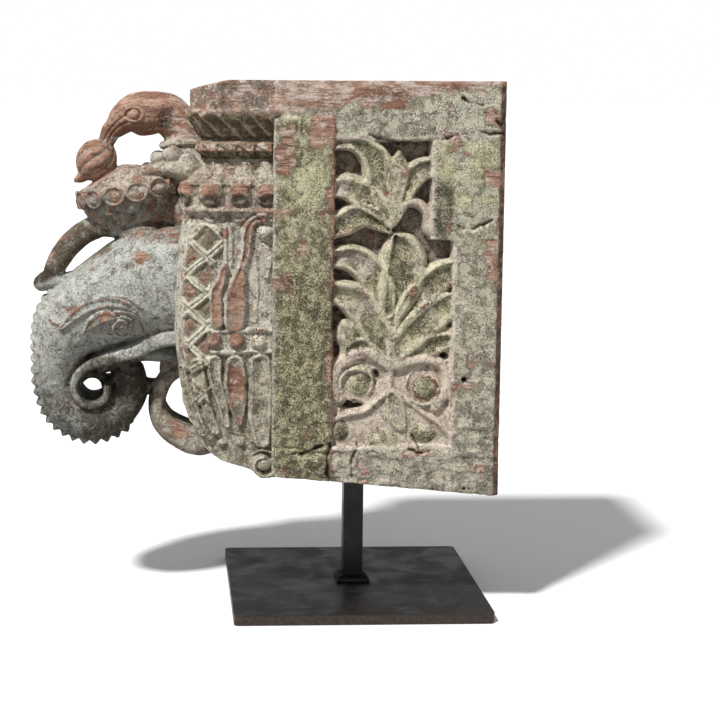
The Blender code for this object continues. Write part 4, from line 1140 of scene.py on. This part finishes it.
def paint_head(s, coat):
    """Grey-green on the head, darker below and in the trunk's curl as painted shade; grey cream on the lotus;
    bare wood on the bird.
    """
    hx, hz = s.x - CROWN[0], s.z - CROWN[1]
    lay(coat, 1, upper=(188, 189, 182), lower=(152, 152, 138), upper_gone=0.32)
    lay(coat, 1, lower_gone=0.25, specks=0.25, pale=0.6)
    # Painted shade: the lower head and trunk are painted darker.
    low = ramp(s.z + 8 * s.wander, 132, 84) * ramp(s.x, -180, -196)
    lay(coat, low, upper=(146, 146, 139), lower=(108, 106, 98), upper_gone=0.45, specks=0.3, pale=0.35)
    # Painted shade in the trunk's curl.
    curl_in_painted_shade = ramp(np.hypot(s.x + 244, s.z - 86), 58, 44) * ramp(s.x, -276, -266) * ramp(s.z, 134, 128)
    lay(coat, curl_in_painted_shade, upper=(122, 116, 104), lower=(92, 86, 76), upper_gone=0.5, lower_gone=0.12, pale=0.15)
    jaw = ramp(s.x, -204, -200) * ramp(s.z, 128, 118) * ramp(s.side, 43, 41)
    lay(coat, jaw, upper=(190, 181, 166), lower=(162, 146, 128), upper_gone=0.42, lower_gone=0.35, pale=0.45)
    leaning = s.z + 0.19 * (s.x + 226)
    lotus_zone = between(leaning, 248, 322, 3) * ramp(s.x, -160, -166)
    lay(coat, lotus_zone, upper=(198, 186, 172), lower=(168, 150, 132), upper_gone=0.42)
    lay(coat, lotus_zone, lower_gone=0.4, specks=0.25)
    bowl = lotus_zone * ramp(leaning, 288, 282)
    lay(coat, bowl, upper=(164, 160, 148), lower=(132, 124, 112), upper_gone=0.4)
    stem = ramp(s.x, -240, -246) * ramp(s.z - 0.5 * (s.x + 300), 200, 208) * ramp(leaning, 250, 246)
    lay(coat, stem, upper=(140, 132, 116), lower=(112, 100, 86), upper_gone=0.6)
    lay(coat, stem, lower_gone=0.35, bleach=0.3, pale=0.3)
    stem_foot = stem * ramp(s.z + 0.6 * (s.x + 300), 214, 206)
    lay(coat, stem_foot, upper=(92, 82, 72), lower=(66, 56, 48), lower_gone=0.2)
    collar = between(s.z, 300, 344, 3) * ramp(s.x, -206, -200)
    lay(coat, collar, upper=(196, 189, 172), lower=(168, 153, 134), upper_gone=0.35)
    lay(coat, collar, lower_gone=0.35, pale=0.5)
    bare = ramp(s.z + 3 * s.wander, 339, 345)
    lay(coat, bare, upper=(184, 166, 150), upper_gone=0.82, lower_gone=0.85, bleach=0.3, pale=0.2)
    neck = ramp(s.z, 334, 342) * ramp(s.x, -206, -190)
    pale_neck = neck * ramp(s.wander + 0.04 * (s.x + 186), -0.5, 0.6)
    lay(coat, pale_neck, upper=(192, 184, 166), upper_gone=0.4, bleach=0.7)
    lay(coat, neck * ramp(np.hypot((s.x + 190) / 8, (s.z - 360) / 12), 1.2, 0.7), specks=1.3)
    fruit = ramp(np.sqrt((s.x + 257.5) ** 2 + s.y**2 + (s.z - 318.5) ** 2), 28, 26)
    lay(coat, fruit, upper=(196, 182, 168), upper_gone=0.82, lower_gone=0.84)
    lay(coat, fruit, bleach=0.2, pale=0.2, specks=0.2)
    grooves = fruit * ramp(s.near, 0.0, -0.4)
    lay(coat, grooves, upper=(200, 188, 174), upper_gone=0.2, lower_gone=0.1, pale=0.5)
    on_side = ramp(s.side, 30, 40) * ramp(s.z, 262, 256)
    marks = face_relief(hx, hz)
    red = on_side * ramp(marks, 1.2, 2.4) * ramp(s.near, 0.0, 0.35) * 0.75
    red = np.maximum(red, on_side * ramp(along(hx, hz, EYE_LEAF), 0.8, 0.5) * 0.6)
    red = np.maximum(red, lotus_zone * ramp(s.near, 0.15, 0.55) * 0.8)
    red = np.maximum(red, ramp(s.near, 0.55, 1.0) * 0.7)
    crown_spot = np.hypot((s.x + 212) / 8, (s.z - 228) / 6) + 0.3 * s.fine
    red = np.maximum(red, on_side * ramp(crown_spot, 1, 0.7) * 0.9)
    lay(coat, red * ramp(s.z, 345, 335), upper_gone=0.78, lower_gone=0.74, bleach=0.3, pale=0.3)
    return 0


def finish_piece(s, paint):
    """Lays a piece's paint and keeps it as named attributes of its points."""
    coat = fresh_coat(s)
    cracks_and_painted_shade = paint(s, coat)
    # The hollow share is dirt and painted shade: recesses, cracks, and the shade under the body's drops and
    # ring.
    hollow = 0.75 * np.clip(ramp(s.wide, -0.3, -3.2) + 0.6 * ramp(s.near, -0.2, -0.9), 0, 1)
    # The ridge share lightens what stands proud as a painted highlight.
    coat["hollow"], coat["ridge"] = np.clip(np.maximum(hollow, cracks_and_painted_shade), 0, 1), ramp(s.near, 0.1, 0.7)
    for name, values in coat.items():
        if values.ndim == 2:
            made = s.obj.data.attributes.new(name, "FLOAT_COLOR", "POINT")
            values = np.column_stack([np.clip(values, 0, 1), np.ones(len(values))])
            made.data.foreach_set("color", values.astype(np.float32).ravel())
        else:
            made = s.obj.data.attributes.new(name, "FLOAT", "POINT")
            made.data.foreach_set("value", values.astype(np.float32))
    print(s.obj.name, "has", sorted(coat))


for skin, paint in ((block, paint_block), (body, paint_body), (head, paint_head)):
    finish_piece(skin, paint)

# %% [markdown]
# ## Old paint, bare wood, dirt and painted shade
#
# Real flaking paint has clear edges: a coat is there or it isn't. So each coat is a mask, made by
# comparing noise with how much of that coat has gone. The same masks feed the bump, so a flake
# has a small step at its edge. Black specks, a crackle of thin lines, pale flecks of old ground,
# dirt and painted shade in the hollows, and a painted highlight on the ridges go over the coats.
# The noise is in the wood's own coordinates.


# %% Node helpers
def plug(tree, target, value):
    """Links a socket to a socket, or sets its value."""
    if isinstance(value, bpy.types.NodeSocket):
        tree.links.new(value, target)
    elif value is not None:
        target.default_value = value


def maths(tree, operation, a, b):
    made = node(tree, "ShaderNodeMath", operation=operation)
    for target, value in zip(made.inputs, (a, b)):
        plug(tree, target, value)
    return made.outputs[0]


def step_between(tree, value, low, high, to_low=0.0, to_high=1.0):
    made = node(tree, "ShaderNodeMapRange", interpolation_type="SMOOTHSTEP")
    for target, given in zip(made.inputs, (value, low, high, to_low, to_high)):
        plug(tree, target, given)
    return made.outputs[0]


def mixed(tree, factor, a, b, blend="MIX"):
    made = node(tree, "ShaderNodeMix", data_type="RGBA", blend_type=blend, clamp_factor=True)
    for index, value in ((0, factor), (6, a), (7, b)):
        plug(tree, made.inputs[index], value)
    return made.outputs[2]


def noise(tree, vector, scale, detail=4.0, roughness=0.6, distortion=0.0):
    made = node(tree, "ShaderNodeTexNoise")
    for name, value in (
        ("Vector", vector), ("Scale", scale), ("Detail", detail), ("Roughness", roughness),
        ("Distortion", distortion),
    ):
        plug(tree, made.inputs[name], value)
    return made.outputs["Fac"]


def shifted(tree, vector, offset, scale=(1, 1, 1)):
    made = node(tree, "ShaderNodeMapping")
    plug(tree, made.inputs["Vector"], vector)
    made.inputs["Location"].default_value = offset
    made.inputs["Scale"].default_value = scale
    return made.outputs[0]


def attribute(tree, name, output="Fac"):
    return node(tree, "ShaderNodeAttribute", attribute_name=name).outputs[output]


def colour(*values):
    return (*srgb(*values), 1)


def group(name, inputs, outputs, build):
    """A shader node group. build gets the tree and its input sockets and gives the outputs in order."""
    tree = bpy.data.node_groups.new(name, "ShaderNodeTree")
    for label, kind in inputs:
        tree.interface.new_socket(label, in_out="INPUT", socket_type="NodeSocket" + kind)
    for label, kind in outputs:
        tree.interface.new_socket(label, in_out="OUTPUT", socket_type="NodeSocket" + kind)
    given, result = node(tree, "NodeGroupInput"), node(tree, "NodeGroupOutput")
    for target, socket_out in zip(result.inputs, build(tree, given.outputs)):
        tree.links.new(socket_out, target)
    return tree


def use(tree, made, *values):
    """A group node with its inputs given in order."""
    placed = node(tree, "ShaderNodeGroup", node_tree=made)
    for target, value in zip(placed.inputs, values):
        plug(tree, target, value)
    return placed.outputs


# %% Shared effects
def build_flakes(tree, given):
    """Mask of a coat that has partly gone. Gone runs from 0, whole, to 1, bare."""
    vector, size, gone = given["Vector"], given["Size"], given["Gone"]
    broad = noise(tree, vector, size, 7.0, 0.68, 0.35)
    fine = noise(tree, vector, maths(tree, "MULTIPLY", size, 7.0), 4.0, 0.65)
    broad_share = maths(tree, "MULTIPLY", broad, 0.72)
    mixed_noise = maths(tree, "ADD", broad_share, maths(tree, "MULTIPLY", fine, 0.28))
    threshold = maths(tree, "ADD", maths(tree, "MULTIPLY", gone, 0.40), 0.30)
    margin = maths(tree, "SUBTRACT", mixed_noise, threshold)
    return [step_between(tree, margin, -0.006, 0.010)]


def build_crackle(tree, given):
    """Thin broken lines, as paint cracks when it dries and the wood moves."""
    bent = noise(tree, given["Vector"], 240.0, 3.0, 0.6)
    offset = node(tree, "ShaderNodeVectorMath", operation="MULTIPLY_ADD")
    plug(tree, offset.inputs[0], bent)
    offset.inputs[1].default_value = (0.006, 0.006, 0.006)
    plug(tree, offset.inputs[2], given["Vector"])
    cells = node(tree, "ShaderNodeTexVoronoi", feature="DISTANCE_TO_EDGE")
    plug(tree, cells.inputs["Vector"], offset.outputs[0])
    plug(tree, cells.inputs["Scale"], given["Size"])
    broken = noise(tree, given["Vector"], 90.0, 3.0, 0.6)
    width = step_between(tree, broken, 0.42, 0.62, 0.0, 0.075)
    line = step_between(tree, cells.outputs["Distance"], width, 0.0)
    return [maths(tree, "MULTIPLY", line, step_between(tree, broken, 0.44, 0.52))]


def build_grain(tree, given):
    """Bare teak: red-brown with dark streaks along the log. Bleach turns it pinkish grey, in patches."""
    stretched = shifted(tree, given["Vector"], (0, 0, 0), (0.14, 1, 1))
    streak = noise(tree, stretched, 420.0, 5.0, 0.7, 0.4)
    broad = noise(tree, stretched, 70.0, 4.0, 0.6, 0.8)
    wood = mixed(tree, step_between(tree, broad, 0.38, 0.62), colour(140, 102, 84), colour(188, 152, 132))
    wood = mixed(tree, step_between(tree, streak, 0.48, 0.66, 0.0, 0.8), wood, colour(98, 72, 60))
    old = mixed(tree, step_between(tree, streak, 0.44, 0.60), colour(214, 198, 186), colour(164, 140, 124))
    patches = noise(tree, shifted(tree, given["Vector"], (0, 0, 0), (0.5, 1, 1)), 110.0, 5.0, 0.7)
    limit = maths(tree, "SUBTRACT", 0.68, maths(tree, "MULTIPLY", given["Bleach"], 0.32))
    grey = step_between(tree, patches, limit, maths(tree, "ADD", limit, 0.07), 0.0, 0.85)
    return [mixed(tree, grey, wood, old), streak]


flakes = group(
    "coat of paint", (("Vector", "Vector"), ("Size", "Float"), ("Gone", "Float")),
    (("Mask", "Float"),), build_flakes,
)
crackle = group("crackle", (("Vector", "Vector"), ("Size", "Float")), (("Mask", "Float"),), build_crackle)
grain = group(
    "bare teak", (("Vector", "Vector"), ("Bleach", "Float")),
    (("Color", "Color"), ("Height", "Float")), build_grain,
)
print("node groups", [g.name for g in (flakes, crackle, grain)])


# %% Material of the timber
def timber_material():
    material = bpy.data.materials.new("weathered_teak")
    material.use_nodes = True
    tree = material.node_tree
    shader = tree.nodes["Principled BSDF"]
    place = node(tree, "ShaderNodeTexCoord").outputs["Object"]
    upper, lower = attribute(tree, "upper", "Color"), attribute(tree, "lower", "Color")
    specks, pale = attribute(tree, "specks"), attribute(tree, "pale")
    hollow, painted_highlight_mask = attribute(tree, "hollow"), attribute(tree, "ridge")

    wood, streak = use(tree, grain, place, attribute(tree, "bleach"))
    moved = shifted(tree, place, (3.1, 1.7, 0.4))
    lower_mask = use(tree, flakes, moved, 70.0, attribute(tree, "lower_gone"))[0]
    moved = shifted(tree, place, (7.3, 5.2, 2.6))
    upper_mask = use(tree, flakes, moved, 110.0, attribute(tree, "upper_gone"))[0]
    upper_mask = maths(tree, "MULTIPLY", upper_mask, lower_mask)

    tint = noise(tree, place, 130.0, 5.0, 0.7)
    fleck = noise(tree, place, 620.0, 3.0, 0.7)
    darker = mixed(tree, 0.35, lower, colour(70, 66, 54))
    lower_tint = mixed(tree, step_between(tree, tint, 0.36, 0.64), lower, darker)
    lighter = mixed(tree, 0.22, upper, colour(226, 220, 206))
    upper_tint = mixed(tree, step_between(tree, tint, 0.36, 0.60), lighter, upper)
    upper_tint = mixed(tree, step_between(tree, fleck, 0.50, 0.64, 0, 0.5), upper_tint, lower)
    shade = mixed(tree, lower_mask, wood, lower_tint)
    shade = mixed(tree, maths(tree, "MULTIPLY", upper_mask, 0.9), shade, upper_tint)

    crust = noise(tree, shifted(tree, place, (1.4, 9.1, 4.4)), 210.0, 6.0, 0.72, 0.5)
    crust_limit = maths(tree, "SUBTRACT", 0.70, maths(tree, "MULTIPLY", pale, 0.18))
    crust_mask = step_between(tree, crust, crust_limit, 0.72)
    shade = mixed(tree, maths(tree, "MULTIPLY", crust_mask, 0.65), shade, colour(198, 192, 182))

    lines = maths(tree, "MULTIPLY", use(tree, crackle, place, 260.0)[0], 0.6)
    wide_lines = use(tree, crackle, shifted(tree, place, (0.6, 0.2, 0.9)), 80.0)[0]
    cracks = maths(tree, "MAXIMUM", lines, maths(tree, "MULTIPLY", wide_lines, 0.45))
    cracks = maths(tree, "MULTIPLY", cracks, maths(tree, "MAXIMUM", lower_mask, 0.25))
    shade = mixed(tree, maths(tree, "MULTIPLY", cracks, 0.85), shade, colour(52, 44, 38))

    cluster = noise(tree, shifted(tree, place, (5.5, 0.8, 3.3)), 75.0, 3.0, 0.6)
    dots = noise(tree, shifted(tree, place, (2.2, 6.6, 1.1)), 760.0, 4.0, 0.75)
    wanted = maths(tree, "ADD", maths(tree, "MULTIPLY", specks, 0.13), maths(tree, "MULTIPLY", cluster, 0.22))
    dot_mask = step_between(tree, maths(tree, "ADD", dots, wanted), 0.725, 0.765)
    shade = mixed(tree, maths(tree, "MULTIPLY", dot_mask, 0.8), shade, colour(48, 43, 36))

    # Painted highlight: what stands proud is lightened towards cream.
    shade = mixed(tree, maths(tree, "MULTIPLY", painted_highlight_mask, 0.14), shade, colour(214, 204, 182))
    # Dirt and painted shade: the hollow share darkens recesses, cracks and the places under the drops and
    # ring.
    dirt_and_painted_shade = mixed(tree, 1.0, shade, colour(108, 96, 86), "MULTIPLY")
    shade = mixed(tree, maths(tree, "MULTIPLY", hollow, 0.85), shade, dirt_and_painted_shade)
    tree.links.new(shade, shader.inputs["Base Color"])

    coat_height = maths(tree, "MULTIPLY", lower_mask, 0.32)
    for layer, rise in (
        (upper_mask, 0.34), (crust_mask, 0.2), (cracks, -0.7), (dot_mask, -0.35), (streak, 0.5),
        (fleck, 0.35),
    ):
        coat_height = maths(tree, "ADD", coat_height, maths(tree, "MULTIPLY", layer, rise))
    relief = node(tree, "ShaderNodeBump")
    relief.inputs["Strength"].default_value = 1.0
    relief.inputs["Distance"].default_value = 0.0009
    tree.links.new(coat_height, relief.inputs["Height"])
    tree.links.new(relief.outputs["Normal"], shader.inputs["Normal"])
    tree.links.new(step_between(tree, tint, 0.3, 0.7, 0.94, 0.78), shader.inputs["Roughness"])
    shader.inputs["Specular IOR Level"].default_value = 0.25
    return material


teak = timber_material()
for skin in (block, body, head):
    skin.obj.data.materials.clear()
    skin.obj.data.materials.append(teak)
    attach(skin.obj, "root")
    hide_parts("corbel")
print("timber finished")

# %% [markdown]
# ## The steel stand
#
# The plate and bar are mill steel: dark oxide scale under wax, blotchy, with brown where it has
# rubbed through on the edges, which is also a painted highlight of the plate's lit sides. The weld
# is a row of overlapping ripples, as a rod leaves them.


# %% Steel material and the weld
def steel_material(name, glow, rubbed_brown_and_highlight):
    material = bpy.data.materials.new(name)
    material.use_nodes = True
    tree = material.node_tree
    shader = tree.nodes["Principled BSDF"]
    place = node(tree, "ShaderNodeTexCoord").outputs["Object"]
    broad = noise(tree, place, 26.0, 6.0, 0.62, 0.6)
    fine = noise(tree, place, 240.0, 5.0, 0.7)
    deep, middle, light = (
        colour(*[v * glow for v in tone]) for tone in ((30, 27, 26), (56, 50, 46), (84, 74, 64))
    )
    scale_colour = mixed(tree, step_between(tree, broad, 0.36, 0.64), deep, middle)
    scale_colour = mixed(tree, step_between(tree, fine, 0.52, 0.70, 0, 0.6), scale_colour, light)
    pits = step_between(tree, noise(tree, place, 700.0, 3.0, 0.7), 0.60, 0.68)
    scale_colour = mixed(tree, maths(tree, "MULTIPLY", pits, 0.6), scale_colour, colour(16, 14, 13))
    # Brown on the plate's side faces: steel rubbed through, and a painted highlight of the lit edge.
    if rubbed_brown_and_highlight:
        axes = node(tree, "ShaderNodeSeparateXYZ")
        tree.links.new(place, axes.inputs[0])
        edge = step_between(tree, axes.outputs["Z"], 0.0098, 0.0090)
        worn = maths(tree, "MULTIPLY", edge, step_between(tree, fine, 0.40, 0.56, 0.25, 0.9))
        scale_colour = mixed(tree, maths(tree, "MULTIPLY", worn, rubbed_brown_and_highlight), scale_colour, colour(72, 56, 48))
    tree.links.new(scale_colour, shader.inputs["Base Color"])
    shader.inputs["Metallic"].default_value = 0.35
    tree.links.new(step_between(tree, broad, 0.34, 0.66, 0.34, 0.62), shader.inputs["Roughness"])
    shader.inputs["Coat Weight"].default_value = 0.06
    shader.inputs["Coat Roughness"].default_value = 0.35
    relief = node(tree, "ShaderNodeBump")
    relief.inputs["Strength"].default_value = 0.6
    relief.inputs["Distance"].default_value = 0.0004
    height = maths(tree, "ADD", fine, maths(tree, "MULTIPLY", broad, 0.7))
    tree.links.new(maths(tree, "SUBTRACT", height, pits), relief.inputs["Height"])
    tree.links.new(relief.outputs["Normal"], shader.inputs["Normal"])
    return material


def weld():
    """The fillet round the bar: a swept ring whose section swells and shrinks in ripples."""
    low, high = (np.array(v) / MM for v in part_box("weld_bead"))
    inner, outer = BAR_SIDE / 2 + 0.3, high[0]
    reach, rise = outer - inner, high[2] - low[2]
    around = 240
    turn = np.linspace(0, 2 * math.pi, around, endpoint=False)
    square = np.maximum(np.abs(np.cos(turn)), np.abs(np.sin(turn)))
    direction = np.stack([np.cos(turn), np.sin(turn)], axis=1) / square[:, None]
    run = np.cumsum(np.hypot(*np.diff(direction * outer, axis=0, prepend=direction[-1:] * outer).T))
    wave = flat_noise(run, run * 0, 9, 131)
    ripple = 0.10 * np.abs(np.sin(math.pi * run / 2.6)) + 0.14 * wave
    rows = []
    for degrees in np.linspace(0, 90, 9):
        c, s = math.cos(math.radians(degrees)), math.sin(math.radians(degrees))
        grown = np.clip(0.84 + ripple * (0.4 + 0.6 * math.sin(2 * math.radians(degrees))), 0.5, 1)
        size = inner + reach * c * grown
        height = low[2] + rise * s * grown
        rows.append(np.column_stack([direction * size[:, None], height]))
    rows.append(np.column_stack([direction * inner, np.full(around, low[2])]))
    points, faces = np.vstack(rows), []
    for r in range(len(rows)):
        row, following = r * around, (r + 1) % len(rows) * around
        for i in range(around):
            j = (i + 1) % around
            faces.append([row + i, row + j, following + j, following + i])
    obj = mesh_object("weld_ripples", points, faces)
    obj.data.shade_smooth()
    return obj


plate_steel = steel_material("waxed_steel_plate", 0.6, 0.8)
bar_steel = steel_material("waxed_steel_bar", 0.5, 0.0)
for name, steel in (("base_plate", plate_steel), ("upright_bar", bar_steel)):
    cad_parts[name].data.materials.clear()
    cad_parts[name].data.materials.append(steel)
ripples = weld()
ripples.data.materials.append(bar_steel)
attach(ripples, "root")
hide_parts("weld_bead")
print("steel finished")

# %% [markdown]
# ## Studio
#
# The photograph is taken against white, with one soft light high up at the left front and white
# all round. The light leaves a soft shadow of the timber on the floor behind, at both sides of the
# plate. The camera stands level with the top of the timber, so the plate is seen a little from
# above. Part of the framing is lens shift, because the photograph's upright lines stay nearly
# upright.


# %% Floor, light and camera
def far_light(name, ahead, strength, spread):
    """A light far away, whose shadows are soft by the angle that it seems wide."""
    data = bpy.data.lights.new(name, "SUN")
    data.energy, data.angle = strength, math.radians(spread)
    obj = bpy.data.objects.new(name, data)
    obj.rotation_euler = Vector(ahead).to_track_quat("-Z", "Y").to_euler()
    scene.collection.objects.link(obj)


FLOOR_REACH = 60000
corners = np.array([(-1, -1, 0), (1, -1, 0), (1, 1, 0), (-1, 1, 0)]) * FLOOR_REACH
floor = mesh_object("floor", corners, [[0, 1, 2, 3]])
pale = bpy.data.materials.new("pale_floor")
pale.use_nodes = True
matte = pale.node_tree.nodes["Principled BSDF"]
matte.inputs["Base Color"].default_value = (0.9, 0.9, 0.9, 1)
matte.inputs["Roughness"].default_value = 1.0
matte.inputs["Specular IOR Level"].default_value = 0.0
floor.data.materials.append(pale)
floor.visible_diffuse = False

world = bpy.data.worlds.new("studio")
scene.world = world
world.use_nodes = True
tree = world.node_tree
sky = tree.nodes["Background"]
sky.inputs["Color"].default_value = (1, 1, 1, 1)
seen = node(tree, "ShaderNodeLightPath").outputs["Is Camera Ray"]
plug(tree, sky.inputs["Strength"], step_between(tree, seen, 0.0, 1.0, 0.40, 1.0))
far_light("key", (0.5, 0.6, -1.0), 3.8, 5)

camera = bpy.data.objects.new("camera", bpy.data.cameras.new("camera"))
scene.collection.objects.link(camera)
camera.data.lens, camera.data.sensor_width = 87.685, 36
camera.data.shift_x, camera.data.shift_y = 0.16, -0.075
camera.data.clip_start = 0.05
TURN, DIP, ROLL = -0.0461, 0.1230, 0.0049
turned = Matrix.Rotation(TURN, 4, "Z") @ Matrix.Rotation(math.pi / 2 - DIP, 4, "X")
turned = turned @ Matrix.Rotation(ROLL, 4, "Z")
camera.matrix_world = Matrix.Translation((-0.1907, -1.7382, 0.5059)) @ turned
scene.camera = camera
scene.view_settings.view_transform = "Standard"
